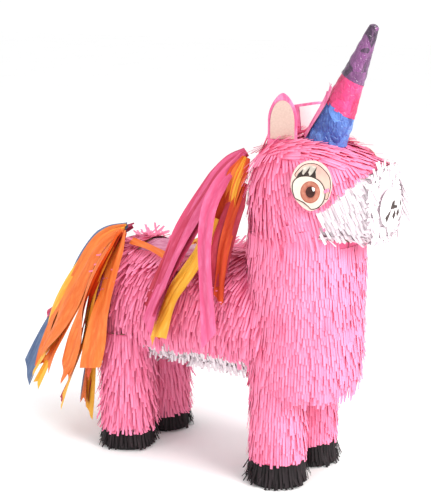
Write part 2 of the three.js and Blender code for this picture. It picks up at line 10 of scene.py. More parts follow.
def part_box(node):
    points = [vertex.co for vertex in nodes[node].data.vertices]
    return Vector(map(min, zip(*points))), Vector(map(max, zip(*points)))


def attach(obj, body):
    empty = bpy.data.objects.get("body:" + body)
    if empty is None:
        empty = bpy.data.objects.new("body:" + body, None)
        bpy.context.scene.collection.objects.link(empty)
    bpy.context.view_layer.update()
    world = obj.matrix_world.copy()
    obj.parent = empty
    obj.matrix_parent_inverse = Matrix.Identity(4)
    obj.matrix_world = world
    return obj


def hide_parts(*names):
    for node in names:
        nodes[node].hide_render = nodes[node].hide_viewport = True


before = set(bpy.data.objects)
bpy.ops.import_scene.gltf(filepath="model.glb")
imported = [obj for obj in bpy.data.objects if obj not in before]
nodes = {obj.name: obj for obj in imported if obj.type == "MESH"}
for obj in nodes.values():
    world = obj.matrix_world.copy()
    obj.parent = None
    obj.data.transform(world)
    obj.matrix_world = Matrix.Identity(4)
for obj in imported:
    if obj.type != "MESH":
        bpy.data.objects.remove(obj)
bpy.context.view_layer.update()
BODY = "unicorn"


# ======== floor, light and camera
# The finished pinata stands on a plain pale studio floor under big soft lights.
# Places are given in millimetres from the floor midway between the four legs.
LEGS = ("fore_right", "fore_left", "hind_right", "hind_left")


def middle_of(node):
    low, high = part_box(node)
    return (low + high) / 2


midway = sum((middle_of(f"leg_{leg}") for leg in LEGS), Vector()) / len(LEGS)


def at(x, y, z):
    return Vector((midway.x + x / 1000, midway.y + y / 1000, z / 1000))


def mesh_piece(name, corners, faces, edges=(), material=None, smooth=False):
    mesh = bpy.data.meshes.new(name)
    mesh.from_pydata([tuple(c) for c in corners], list(edges), list(faces))
    mesh.update()
    if smooth:
        mesh.shade_smooth()
    if material:
        mesh.materials.append(material)
    piece = bpy.data.objects.new(name, mesh)
    bpy.context.scene.collection.objects.link(piece)
    return piece


def aimed(thing, place, aim):
    bpy.context.scene.collection.objects.link(thing)
    thing.location = place
    thing.rotation_mode = "QUATERNION"
    thing.rotation_quaternion = (aim - place).to_track_quat("-Z", "Y")


LIGHT_AIM = at(20, 0, 330)


def soft_light(name, place, size, power, tint):
    """A round lamp, size in metres across and power in watts, turned towards the pinata."""
    light = bpy.data.lights.new(name, "AREA")
    light.shape, light.size, light.energy, light.color = "DISK", size, power, tint
    aimed(bpy.data.objects.new(name, light), place, LIGHT_AIM)


soft_light("key_light", at(1900, -350, 1350), 1.2, 48, (1, 0.985, 0.97))
soft_light("fill_light", at(-900, -1700, 900), 1.8, 5, (1, 0.99, 1))
soft_light("top_light", at(0, 300, 1900), 1.8, 7, (1, 1, 1))

world = bpy.data.worlds.new("studio")
bpy.context.scene.world = world
world.use_nodes = True
world.node_tree.nodes["Background"].inputs["Color"].default_value = (1, 1, 1, 1)
world.node_tree.nodes["Background"].inputs["Strength"].default_value = 1.05
bpy.context.scene.view_settings.view_transform = "Standard"

FLOOR_REACH = 12.0
FLOOR_CORNERS = [(x * FLOOR_REACH, y * FLOOR_REACH, 0) for x, y in ((-1, -1), (1, -1), (1, 1), (-1, 1))]
floor = mesh_piece("floor", FLOOR_CORNERS, [(0, 1, 2, 3)])

camera = bpy.data.objects.new("camera", bpy.data.cameras.new("camera"))
camera.data.lens, camera.data.sensor_width = 88.4, 36
camera.data.clip_start, camera.data.clip_end = 0.05, 50
aimed(camera, at(1070, -1639, 780), at(-4.4, 0, 344.5))
bpy.context.scene.camera = camera


class Wire:
    """An output of a node; sums and products of it are written as plain sums and products."""

    def __init__(self, board, socket):
        self.board, self.socket = board, socket

    def _maths(self, operation, first, second):
        return self.board.node("ShaderNodeMath", {"operation": operation}, {0: first, 1: second})

    def __add__(self, other):
        return self._maths("ADD", self, other)

    def __sub__(self, other):
        return self._maths("SUBTRACT", self, other)

    def __rsub__(self, other):
        return self._maths("SUBTRACT", other, self)

    def __mul__(self, other):
        return self._maths("MULTIPLY", self, other)

    def __pow__(self, other):
        return self._maths("POWER", self, other)


class Board:
    """A node tree under construction."""

    def __init__(self, tree):
        self.tree = tree

    def node(self, kind, settings=None, inputs=None, output=0):
        made = self.tree.nodes.new(kind)
        for key, value in (settings or {}).items():
            setattr(made, key, value)
        for key, value in (inputs or {}).items():
            if isinstance(value, Wire):
                self.tree.links.new(value.socket, made.inputs[key])
            else:
                made.inputs[key].default_value = value
        shown = [socket for socket in made.outputs if socket.enabled]
        return Wire(self, shown[output] if isinstance(output, int) else made.outputs[output])

    def own_places(self):
        return self.node("ShaderNodeTexCoord", output="Object")

    def attribute(self, name, output="Fac"):
        return self.node("ShaderNodeAttribute", {"attribute_name": name}, output=output)

    def split(self, vector):
        """The X and the Y of a vector."""
        made = self.tree.nodes.new("ShaderNodeSeparateXYZ")
        self.tree.links.new(vector.socket, made.inputs[0])
        return Wire(self, made.outputs["X"]), Wire(self, made.outputs["Y"])

    def noise(self, scale, detail=3.0, place=None, rough=0.5):
        place = place or self.own_places()
        return self.node("ShaderNodeTexNoise", {}, {"Vector": place, "Scale": scale, "Detail": detail,
                                                    "Roughness": rough})

    def stretched(self, x, y, z, place=None):
        place = place or self.own_places()
        return self.node("ShaderNodeMapping", {}, {"Vector": place, "Scale": (x, y, z)})

    def grain(self, x, y, z, detail, rough, place=None):
        """A noise drawn out along the axes whose numbers are small."""
        return self.noise(1, detail, self.stretched(x, y, z, place), rough)

    def mix(self, share, first, second):
        first, second = [(*c, 1) if isinstance(c, tuple) else c for c in (first, second)]
        return self.node("ShaderNodeMix", {"data_type": "RGBA"}, {0: share, 6: first, 7: second})

    def between(self, value, low, high):
        """0 below low, 1 above high, and smooth between."""
        return self.node("ShaderNodeMapRange", {"interpolation_type": "SMOOTHSTEP"},
                         {"Value": value, "From Min": low, "From Max": high})


def look(name, paint, roughness, bump=None, depth=0.0005, strength=1.0, gloss=0.5):
    """A material. paint and bump are functions of its board, which give its colour and its relief."""
    material = bpy.data.materials.new(name)
    material.use_nodes = True
    board = Board(material.node_tree)
    shader = material.node_tree.nodes["Principled BSDF"]
    board.tree.links.new(paint(board).socket, shader.inputs["Base Color"])
    shader.inputs["Roughness"].default_value = roughness
    shader.inputs["Specular IOR Level"].default_value = gloss
    if bump:
        relief = board.node("ShaderNodeBump", {}, {"Height": bump(board), "Distance": depth,
                                                   "Strength": strength})
        board.tree.links.new(relief.socket, shader.inputs["Normal"])
    return material


def mottled(first, second, size, detail=3, low=0.35, high=0.7):
    """Paint that wanders between two tones."""
    return lambda b: b.mix(b.between(b.noise(size, detail), low, high), first, second)


def floor_paint(b):
    return b.mix(b.noise(3), (0.93, 0.93, 0.93), (0.97, 0.97, 0.97))


floor.data.materials.append(look("studio_floor", floor_paint, 0.8))


# ======== cardboard body, neck, head and legs
# The core is corrugated cardboard, 3 mm thick: a rolled tube with a domed cap for the body, a round
# box for the neck and head, a tapered tube for the muzzle and four leg tubes with a disc in each foot.
CARDBOARD_NODES = ["barrel_shell", "rump_cap", "neck_floor", "neck_shell", "head_shell", "muzzle_shell",
                   "muzzle_cap", "hanger_board", "fill_flap", "horn_cone"]
CARDBOARD_NODES += [f"{kind}_{leg}" for kind in ("leg", "sole") for leg in LEGS]
FLUTE_PITCH = 0.007
WAVE_PITCH = 0.314  # of a wave texture at scale 1


def kraft_paint(b):
    fibre = b.grain(900, 160, 160, 6, 0.7)
    plain = b.mix(b.between(fibre, 0.35, 0.7), (0.50, 0.345, 0.19), (0.62, 0.45, 0.27))
    return b.mix(b.between(b.noise(9), 0.45, 0.75) * 0.35, plain, (0.42, 0.28, 0.15))


def kraft_relief(b):
    flutes = b.node("ShaderNodeTexWave", {"bands_direction": "X"},
                    {"Vector": b.own_places(), "Scale": WAVE_PITCH / FLUTE_PITCH,
                     "Distortion": 0.6, "Detail Scale": 2.0}, output="Fac")
    return flutes * 0.5 + b.noise(420, 4) * 0.4


kraft = look("kraft_card", kraft_paint, 0.88, kraft_relief, 0.0003, 0.6)


def finish_node(node, material):
    mesh = nodes[node].data
    mesh.materials.clear()
    mesh.materials.append(material)


for node in CARDBOARD_NODES:
    finish_node(node, kraft)


# ======== fringed tissue over the body and legs
# Strips of tissue paper are cut most of the way across into strands a little over 4 mm wide, and glued
# on in rows, each lapping over the one below. Their uncut edges make a smooth skin under the strands.
STRAND_PITCH = 0.0047
STRAND_WIDTH = 0.0044
STRAND_LENGTH = 0.036
ROW_STEP = 0.0145
ROOT_DEPTH = 0.0042  # below the coat's outer face, where a strand leaves its strip
SKIN_DEPTH = 0.0009  # below the strands' roots
FIRST_ROW = 0.12  # as a share of a row's step
SHORTEST_STRAND = 0.006
FACES_OUT = 0.42  # the least a face of the coat turns away from the coat's middle
HEADS_FOR = 0.3  # the least a strand turns towards a plane that stops it
TINY = 1e-9


def welded(mesh):
    """A mesh of loose triangles as corner positions and triangles that share them."""
    places = np.empty(len(mesh.vertices) * 3)
    mesh.vertices.foreach_get("co", places)
    mesh.calc_loop_triangles()
    corners = np.empty(len(mesh.loop_triangles) * 3, int)
    mesh.loop_triangles.foreach_get("vertices", corners)
    places = places.reshape(-1, 3)
    _, first, same = np.unique(np.round(places, 5), axis=0, return_index=True, return_inverse=True)
    return places[first], same.reshape(-1)[corners].reshape(-1, 3)


def outside_of(node, core):
    """A coat's outer faces: corners, triangles and smooth normals. core finds its middle line."""
    places, triangles = welded(nodes[node].data)
    a, b, c = (places[triangles[:, k]] for k in range(3))
    across = np.cross(b - a, c - a)
    area = np.linalg.norm(across, axis=1)
    centre = (a + b + c) / 3
    away = centre - core(centre)
    away /= np.linalg.norm(away, axis=1)[:, None]
    unit = across / np.maximum(area, 1e-12)[:, None]
    kept = (area > TINY) & ((unit * away).sum(1) > FACES_OUT)
    triangles, across = triangles[kept], across[kept]
    normals = np.zeros_like(places)
    for k in range(3):
        np.add.at(normals, triangles[:, k], across)
    normals /= np.maximum(np.linalg.norm(normals, axis=1), 1e-12)[:, None]
    return places, triangles, normals


def backing(name, skin, depth, material):
    """The uncut edges of the strips: a smooth tissue skin under the strands."""
    places, triangles, normals = skin
    used, index = np.unique(triangles, return_inverse=True)
    sunk = places[used] - normals[used] * depth
    return mesh_piece(name, sunk, index.reshape(-1, 3).tolist(), material=material, smooth=True)


def rows_on(name, skin, lays, step, reach, stop, pressed):
    """Lines where the strips are glued, and at each point which way is out, how a strand hangs and its reach.
    lays: pairs of a way to hang and a test(normal, place) of where. stop: a plane that no strand passes, as
    the way across it, a point on it, and a test of where it counts. pressed: places where something lies on
    the strands, as middle, radius and how far they tip inward."""
    places, triangles, normals = skin
    centre = places[triangles].mean(1)
    facing = normals[triangles].mean(1)
    corners, out, hang, loose, reaches, lines = [], [], [], [], [], []

    def glued(i, j, share, direction):
        """A point of a row, a share of the way from one corner of the coat to another."""
        place = places[i] + (places[j] - places[i]) * share
        normal = normals[i] + (normals[j] - normals[i]) * share
        normal = normal / max(np.linalg.norm(normal), TINY)
        down = direction - normal * (direction @ normal)
        down /= max(np.linalg.norm(down), TINY)
        inward = max((tip for spot, size, tip in pressed if np.linalg.norm(place - spot) < size), default=0.0)
        far = reach
        if stop and down @ stop[0] > HEADS_FOR:
            left = (stop[1] - place) @ stop[0] / (down @ stop[0])
            if left > 0 and stop[2](place):
                far = min(reach, left)
        corners.append(place)
        out.append(normal)
        hang.append(down - normal * inward)
        loose.append(0.0 if inward else 1.0)
        reaches.append(far)
        return len(corners) - 1

    taken = np.zeros(len(triangles), bool)
    for direction, test in lays:
        direction = np.array(Vector(direction).normalized())
        chosen = test(facing, centre) & ~(taken & (test is rest))
        taken |= chosen
        if not chosen.any():
            continue
        height = places @ direction
        phase = height[triangles[chosen]].min() + step * FIRST_ROW
        found = {}
        for triangle in triangles[chosen]:
            heights = height[triangle]
            low = math.ceil((heights.min() - phase) / step)
            high = math.floor((heights.max() - phase) / step)
            for row in range(low, high + 1):
                level = phase + row * step
                ends = []
                for k in range(3):
                    i, j = sorted((int(triangle[k]), int(triangle[(k + 1) % 3])))
                    if (height[i] - level) * (height[j] - level) < 0:
                        if (row, i, j) not in found:
                            share = (level - height[i]) / (height[j] - height[i])
                            found[row, i, j] = glued(i, j, share, direction)
                        ends.append(found[row, i, j])
                if len(ends) == 2 and min(reaches[e] for e in ends) > SHORTEST_STRAND:
                    lines.append(tuple(ends))
    piece = mesh_piece(name, corners, [], lines)
    for label, values in (("out", out), ("hang", hang), ("reach", reaches), ("loose", loose)):
        values = np.array(values, np.float32)
        kind, field = ("FLOAT_VECTOR", "vector") if values.ndim > 1 else ("FLOAT", "value")
        piece.data.attributes.new(label, kind, "POINT").data.foreach_set(field, values.ravel())
    return piece


BENDS = ((0.10, 0.0), (0.28, 0.25), (-0.16, -0.2), (0.55, 0.1))  # how each kind of strand curls and twists
CURL_RISE, TROUGH_RISE, TWIST_RISE = 0.012, 0.0009, 0.0035
NARROWING = 0.12  # of a strand's width, from its root to its end


def fringe_tree():
    """Strands along glued rows: a flat strip of tissue at each step, tilted, turned and curled by chance."""
    tree = bpy.data.node_groups.new("fringe_strands", "GeometryNodeTree")
    tree.is_modifier = True
    kinds = {"Rows": "Geometry", "Seed": "Int", "Tissue": "Material"}
    for label in ("Rows", "Pitch", "Width", "Lift", "Mess", "Splay", "Curl", "Root Depth", "Seed", "Tissue"):
        kind = kinds.get(label, "Float")
        tree.interface.new_socket(label, in_out="INPUT", socket_type=f"NodeSocket{kind}")
    tree.interface.new_socket("Strands", in_out="OUTPUT", socket_type="NodeSocketGeometry")
    b = Board(tree)
    given = tree.nodes.new("NodeGroupInput")
    value = {socket.name: Wire(b, socket) for socket in given.outputs if socket.name}
    lines = b.node("GeometryNodeMeshToCurve", {}, {0: value["Rows"]})
    points = b.node("GeometryNodeResampleCurve", {"mode": "LENGTH"},
                    {"Curve": lines, "Length": value["Pitch"]})

    def chance(low, high, shift):
        return b.node("FunctionNodeRandomValue", {"data_type": "FLOAT"},
                      {2: low, 3: high, 8: value["Seed"] + shift})

    def carried(label, kind):
        return b.node("GeometryNodeInputNamedAttribute", {"data_type": kind}, {"Name": label})

    out, hang = carried("out", "FLOAT_VECTOR"), carried("hang", "FLOAT_VECTOR")
    points = b.node("GeometryNodeStoreNamedAttribute", {"data_type": "FLOAT", "domain": "POINT"},
                    {"Geometry": points, "Name": "tint", "Value": chance(0.0, 1.0, 11)})
    kinds = tree.nodes.new("GeometryNodeGeometryToInstance")
    for bend, twist in BENDS:
        grid = tree.nodes.new("GeometryNodeMeshGrid")
        for socket, size in (("Size X", 1.0), ("Size Y", 1.0), ("Vertices X", 4), ("Vertices Y", 3)):
            grid.inputs[socket].default_value = size
        flat, uv = Wire(b, grid.outputs["Mesh"]), Wire(b, grid.outputs["UV Map"])
        flat = b.node("GeometryNodeStoreNamedAttribute", {"data_type": "FLOAT2", "domain": "CORNER"},
                      {"Geometry": flat, "Name": "strand", "Value": uv})
        along, across = b.split(b.node("GeometryNodeInputPosition"))
        along = along + 0.5
        rise = (along * along * value["Curl"] * (CURL_RISE * bend) + across * across * TROUGH_RISE
                + along * across * (TWIST_RISE * twist))
        narrow = across * (1.0 - along * along * NARROWING)
        place = b.node("ShaderNodeCombineXYZ", {}, {"X": along, "Y": narrow, "Z": rise})
        strand = b.node("GeometryNodeSetPosition", {}, {"Geometry": flat, "Position": place})
        tree.links.new(strand.socket, kinds.inputs[0])
    lying = b.node("FunctionNodeAlignRotationToVector", {"axis": "X"}, {"Vector": hang})
    lying = b.node("FunctionNodeAlignRotationToVector", {"axis": "Z", "pivot_axis": "X"},
                   {"Rotation": lying, "Vector": out})
    stray = (chance(0.0, 1.0, 3) ** 6.0) * value["Mess"] * carried("loose", "FLOAT")
    up = value["Lift"] * chance(0.6, 1.4, 2) + stray
    side = chance(-1.0, 1.0, 4) * value["Splay"]
    roll = chance(-1.6, 1.6, 5) * value["Splay"]
    euler = b.node("ShaderNodeCombineXYZ", {}, {"X": roll, "Y": up * -1.0, "Z": side})
    turn = b.node("FunctionNodeEulerToRotation", {}, {0: euler})
    lying = b.node("FunctionNodeRotateRotation", {"rotation_space": "LOCAL"}, {0: lying, 1: turn})
    long, wide = carried("reach", "FLOAT") * chance(0.68, 1.08, 6), value["Width"] * chance(0.9, 1.05, 7)
    size = b.node("ShaderNodeCombineXYZ", {}, {"X": long, "Y": wide, "Z": 1.0})
    down = value["Root Depth"] * -1.0
    down = b.node("ShaderNodeVectorMath", {"operation": "SCALE"}, {0: out, "Scale": down})
    points = b.node("GeometryNodeSetPosition", {}, {"Geometry": points, "Offset": down})
    kind = b.node("FunctionNodeRandomValue", {"data_type": "INT"},
                  {4: 0, 5: len(BENDS) - 1, 8: value["Seed"] + 9.0})
    whole = b.node("GeometryNodeInstanceOnPoints", {}, {
        "Points": points, "Instance": Wire(b, kinds.outputs[0]), "Pick Instance": True,
        "Instance Index": kind, "Rotation": lying, "Scale": size})
    whole = b.node("GeometryNodeRealizeInstances", {}, {0: whole})
    whole = b.node("GeometryNodeSetMaterial", {}, {"Geometry": whole, "Material": value["Tissue"]})
    end = tree.nodes.new("NodeGroupOutput")
    tree.links.new(whole.socket, end.inputs[0])
    return tree


def applied(piece, tree, settings):
    """The piece's Geometry Nodes result as a plain mesh."""
    modifier = piece.modifiers.new("made", "NODES")
    modifier.node_group = tree
    for item in tree.interface.items_tree:
        if item.in_out == "INPUT" and item.name in settings:
            modifier[item.identifier] = settings[item.name]
    made = piece.evaluated_get(bpy.context.evaluated_depsgraph_get())
    mesh = bpy.data.meshes.new_from_object(made)
    piece.modifiers.clear()
    piece.data = mesh
    return piece


FRINGE = fringe_tree()


def tissue_paint(deep, plain, pale):
    def paint(b):
        along, across = b.split(b.attribute("strand", "Vector"))
        # Painted shade in the slots between strands: a mask that rises towards each strand's long edges,
        # mixing in the deep tone.
        slot_shade = b.between(b.node("ShaderNodeMath", {"operation": "ABSOLUTE"}, {0: across - 0.5}), 0.34, 0.5)
        fibre = b.grain(160, 160, 500, 4, 0.6)
        tone = b.mix(b.attribute("tint"), plain, pale)
        tone = b.mix(b.between(fibre, 0.3, 0.75) * 0.35, tone, pale)
        tone = b.mix(b.between(b.noise(14, 2), 0.5, 0.8) * 0.4, tone, deep)
        tone = b.mix(slot_shade * 0.7, tone, deep)
        # Painted shade: the strands also darken towards their roots, under the row above.
        return b.mix((1.0 - b.between(along, 0.05, 0.6)) * 0.35, tone, deep)
    return paint


def crepe_relief(b):
    return b.grain(700, 700, 120, 3, 0.6)


def tissue(name, deep, plain, pale, skin, rough, skin_rough, gloss=0.5):
    """The looks of a tissue's strands, and of the uncut edges under them."""
    paint = tissue_paint(deep, plain, pale)
    return (look(f"{name}_tissue_fringe", paint, rough, crepe_relief, 0.0002, 0.5, gloss),
            look(f"{name}_tissue_skin", mottled(deep, skin, 60, 4), skin_rough, crepe_relief, 0.0002, 0.4))


WHITE, BLACK = (0.77, 0.69, 0.73), (0.010, 0.007, 0.008)
# Each tissue's first colour is its deep tone. The strands also take it as painted shade at their edges and
# roots.
TISSUES = {
    "pink_tissue": tissue("pink", (0.74, 0.10, 0.22), (0.88, 0.20, 0.36), (0.92, 0.27, 0.45),
                          (0.80, 0.13, 0.29), 0.72, 0.8),
    "white_tissue": tissue("white", (0.68, 0.56, 0.61), WHITE, (0.81, 0.75, 0.78), WHITE, 0.75, 0.8),
    "black_tissue": tissue("black", (0.003, 0.002, 0.002), BLACK, (0.026, 0.018, 0.021), BLACK, 0.7, 0.7,
                           0.25),
}


def finished(piece, node=None):
    """Says what carries a piece, and hides the CAD piece that it stands for."""
    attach(piece, BODY)
    if node:
        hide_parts(node)
    return piece


def fringed(node, core, lays, slot, lift=0.08, mess=0.2, splay=0.02, curl=0.3, step=ROW_STEP,
            reach=STRAND_LENGTH, stop=None, pitch=STRAND_PITCH, width=STRAND_WIDTH, root=ROOT_DEPTH,
            pressed=(), part="", seed=1):
    """A coat of strands and its skin, or with part a second lot of strands over a coat that has its skin."""
    skin = outside_of(node, core)
    fringe_look, skin_look = TISSUES[slot]
    piece = rows_on(f"{part or node}_strands", skin, lays, step, reach, stop, pressed)
    applied(piece, FRINGE, {"Pitch": pitch, "Width": width, "Lift": lift, "Mess": mess, "Splay": splay,
                            "Curl": curl, "Root Depth": root, "Seed": seed, "Tissue": fringe_look})
    finished(piece, None if part else node)
    if not part:
        finished(backing(f"{node}_skin", skin, root + SKIN_DEPTH, skin_look))


def middle_line(x, y, z):
    """A coat's middle line: x, y and z are each where it lies, or a pair of ends that it runs between."""
    def core(p):
        return np.stack([np.clip(p[:, axis], *place) if isinstance(place, tuple) else np.full(len(p), place)
                         for axis, place in enumerate((x, y, z))], 1)
    return core


FAR = 1e9
rump_low, rump_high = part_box("rump_cap")
body_core = middle_line((rump_high.x - 0.02, FAR), midway.y, (rump_low.z + rump_high.z) / 2)
neck_low, neck_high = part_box("neck_shell")
neck_x = (neck_low.x + neck_high.x) / 2
muzzle_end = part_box("muzzle_cap")[1].x
neck_core = middle_line(neck_x, midway.y, (neck_low.z + 0.05, neck_high.z))
head_core = middle_line((neck_x, muzzle_end - 0.05), midway.y, neck_high.z + 0.062)

# Which faces a lay covers, by how they face (n) and where they are (p).
STEEP, TOP, UNDER, FRONT = 0.80, 0.62, -0.72, 0.8
steep = lambda n, p: np.abs(n[:, 2]) < STEEP
top = lambda n, p: n[:, 2] >= TOP
under = lambda n, p: n[:, 2] <= UNDER
on_right = lambda n, p: p[:, 1] < midway.y
on_left = lambda n, p: p[:, 1] >= midway.y
off_front = lambda n, p: n[:, 0] < FRONT
past_neck = lambda n, p: p[:, 0] > neck_high.x
rest = lambda n, p: np.ones(len(n), bool)


def both(first, second):
    return lambda n, p: first(n, p) & second(n, p)


def halves(facing, aside=1, back=0):
    """Two lays on a top or an underside, one hanging to each side."""
    return [((-back, side * aside, 0), both(facing, half)) for side, half in ((-1, on_right), (1, on_left))]


def floor_at(level, where=lambda place: True):
    return np.array((0, 0, -1.0)), np.array((0, 0, level)), where


# The body's pink rows stop above a white strip under the belly, whose edge is a row of short strands.
DOWN, AHEAD, BACK = (0, 0, -1), (1, 0, 0), (-1, 0, 0)
BELLY_MARGIN = 0.004
belly_low, belly_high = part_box("belly_fringe")
belly_edge = belly_high.z + BELLY_MARGIN
by_belly = lambda x: (x > belly_low.x - BELLY_MARGIN) & (x < belly_high.x + BELLY_MARGIN)
above_belly = lambda n, p: steep(n, p) & ~(by_belly(p[:, 0]) & (p[:, 2] < belly_edge))
belly_side = lambda n, p: (n[:, 2] < 0) & (p[:, 2] < belly_edge + 0.006)
fringed("body_fringe", body_core, [(DOWN, above_belly), *halves(top)], "pink_tissue", lift=0.10, mess=0.4,
        splay=0.05, curl=0.6, stop=floor_at(belly_edge, lambda place: by_belly(place[0])), seed=3)

# The tail lies on the rump's strands, and each eye on the cheek's.
TAIL_PRESS = [(np.array(at(*spot)), size, 0.15) for spot, size in (
    ((-195, -20, 345), 0.05), ((-198, -42, 335), 0.045), ((-206, -58, 300), 0.045),
    ((-205, -72, 265), 0.045), ((-178, -22, 358), 0.045), ((-172, -62, 340), 0.045),
    ((-162, -92, 305), 0.045), ((-165, -102, 262), 0.036))]
EYE_PRESS = [(np.array(middle_of(f"eye_label_{side}")), 0.062, 0.105) for side in ("right", "left")]
fringed("rump_fringe", body_core, [(DOWN, steep), *halves(top, 0.6, 0.8), (DOWN, rest)],
        "pink_tissue", lift=0.13, mess=0.6, splay=0.12, curl=1.3, step=0.014, pressed=TAIL_PRESS, seed=4)
fringed("body_fringe", body_core, [(DOWN, belly_side)],
        "white_tissue", lift=0.10, mess=0.35, splay=0.08, step=0.008, reach=0.024, part="belly_edge", seed=9)
fringed("belly_fringe", body_core, [*halves(under), (DOWN, rest)], "white_tissue", lift=0.14,
        mess=0.5, splay=0.12, step=0.013, reach=0.026, seed=5)
fringed("neck_fringe", neck_core, [(DOWN, steep)], "pink_tissue", mess=0.10, splay=0.013, seed=6)

# The pink of the head ends at the slanting upper edge of the white muzzle.
WHITE_EDGE = (np.array((1.02, 0, -1.0)) / math.hypot(1.02, 1), np.array(at(303, 0, 512)),
              lambda place: place[2] > 0.455)
fringed("head_fringe", head_core, [((0.28, 0, -1), steep), (AHEAD, top), (BACK, both(under, past_neck))],
        "pink_tissue", mess=0.28, stop=WHITE_EDGE, pressed=EYE_PRESS, seed=7)
MUZZLE_PITCH = 0.0040
MUZZLE_STOP = (np.array(AHEAD), np.array((muzzle_end + 0.009, 0, 0)), lambda place: True)
fringed("muzzle_fringe", head_core, [((0.5, 0, -0.85), both(steep, off_front)), (AHEAD, both(top, off_front)),
                                     (AHEAD, both(under, off_front))],
        "white_tissue", lift=0.06, mess=0.3, splay=0.10, curl=0.6, step=0.011, reach=0.026,
        pitch=MUZZLE_PITCH, width=0.0043, stop=MUZZLE_STOP, seed=8)
mouth_low, mouth_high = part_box("mouth_label")
mouth_at, mouth_half = (mouth_low + mouth_high) / 2, (mouth_high - mouth_low) / 2


def front_part(across, upward):
    """The quarter of the muzzle's front that lies one way from the mouth, outside its label."""
    def test(n, p):
        y, z = p[:, 1] - mouth_at.y, p[:, 2] - mouth_at.z
        along, aside = (z * upward, np.abs(y)) if upward else (y * across, np.abs(z))
        return (n[:, 0] > 0.6) & (along > aside) & ((y / mouth_half.y) ** 2 + (z / mouth_half.z) ** 2 > 1.1)
    return (0, across, upward), test


fringed("muzzle_fringe", head_core, [front_part(*way) for way in ((0, 1), (0, -1), (1, 0), (-1, 0))],
        "white_tissue", lift=0.05, mess=0.12, splay=0.07, curl=0.5, step=0.009, reach=0.017,
        pitch=MUZZLE_PITCH, width=0.0045, part="muzzle_front", seed=10)

# Each leg's rows end at the hoof; on the hind legs the last rows flare out over it.
LEG_ROOT = 0.0035
HOOF_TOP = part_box("hoof_fringe_fore_right")[1].z
LEG_HANG = {"fore": dict(lift=0.07, mess=0.14, splay=0.02, curl=0.3, stop=floor_at(HOOF_TOP - 0.001)),
            "hind": dict(lift=0.11, mess=0.26, splay=0.09, curl=1.0, stop=floor_at(HOOF_TOP - 0.010))}
for number, leg in enumerate(LEGS):
    centre = middle_of(f"sole_{leg}")
    core = middle_line(centre.x, centre.y, (-FAR, FAR))
    fringed(f"leg_fringe_{leg}", core, [(DOWN, rest)], "pink_tissue", **LEG_HANG[leg[:4]], root=LEG_ROOT,
            seed=20 + number)
    fringed(f"hoof_fringe_{leg}", core, [(DOWN, steep)], "black_tissue", lift=0.11, mess=0.34, splay=0.09,
            curl=0.8, step=0.011, reach=0.036, stop=floor_at(0.0022), root=LEG_ROOT, pitch=0.0055,
            seed=30 + number)


# ======== fill flap and the smooth patch in the back
# A three-sided cut in the back makes a flap for the sweets. Smooth tissue is glued over the flap and round
# the opening, and its uncut fourth edge is the hinge.


def crease_shaded_back_paint(b):
    # Painted shade and light: the tissue is darker in its creases and lighter on the folds between them. The
    # greyish patches are its own colour.
    crease = b.between(b.grain(30, 70, 70, 5, 0.65), 0.42, 0.62)
    tone = b.mix(crease, (0.50, 0.11, 0.22), (0.66, 0.24, 0.38))
    return b.mix(b.between(b.noise(25), 0.5, 0.7) * 0.6, tone, (0.55, 0.36, 0.40))


back_tissue = look("back_tissue", crease_shaded_back_paint, 0.62, lambda b: b.grain(45, 90, 90, 5, 0.7), 0.0016, 0.8)
finish_node("flap_cover", back_tissue)
finish_node("back_patch", back_tissue)


# ======== horn
# A cone of rolled card leans forward from the top of the head. Three wraps of shiny crepe are wound
# round it, blue, hot pink and plum from the bottom, each creased and cut off at a slant.
HEAD_TOP = 535
HORN_X, HORN_RISE, HORN_LENGTH, HORN_LEAN = 199, 8, 181, 23.4
HORN_BASE_RADIUS, HORN_TIP_RADIUS = 30, 5.2
WRAP_STAND, WRAP_LAP, TIP_RISE = 1.9, 1.5, 3.5
WRAP_SLANT, WRAP_TURN = radians(14), radians(123)
WRAP_CREASE, WRAP_PATCH = 1.9, 17
WRAPS = [("blue", -16, 50), ("pink", 50, 100), ("purple", 100, HORN_LENGTH)]


def placed(x, y, z, *turns):
    """Where a piece drawn in millimetres stands, and its turns in degrees, each about its own axis."""
    frame_of = Matrix.Translation(at(x, y, z))
    for degrees, axis in turns:
        frame_of = frame_of @ Matrix.Rotation(radians(degrees), 4, axis)
    return frame_of @ Matrix.Scale(0.001, 4)


horn_frame = placed(HORN_X, 0, HEAD_TOP + HORN_RISE, (HORN_LEAN, "Y"))


def horn_radius(along):
    return HORN_BASE_RADIUS + (HORN_TIP_RADIUS - HORN_BASE_RADIUS) * along / HORN_LENGTH


def round_horn(radius, angle, along):
    return Vector((radius * cos(angle), radius * sin(angle), along))


def quads(rows, wide, closed=False, first=0):
    """The faces between rows of corners, wide corners to a row, each row closed to a ring if asked."""
    around = ((0, 0), (0, 1), (1, 1), (1, 0))
    return [tuple(first + (r + down) * wide + (c + over) % wide for down, over in around)
            for r in range(rows) for c in range(wide if closed else wide - 1)]


def crumple(place, size, depth, seed):
    """Flat patches that meet in creases, as in paper that was wound on by hand."""
    near, _ = noise.voronoi(place / size + Vector((seed, 0, 0)))
    patch = min(1.0, (near[1] - near[0]) * 1.6) - 0.6
    return depth * patch + depth * 0.5 * noise.noise(place / (size * 1.7))


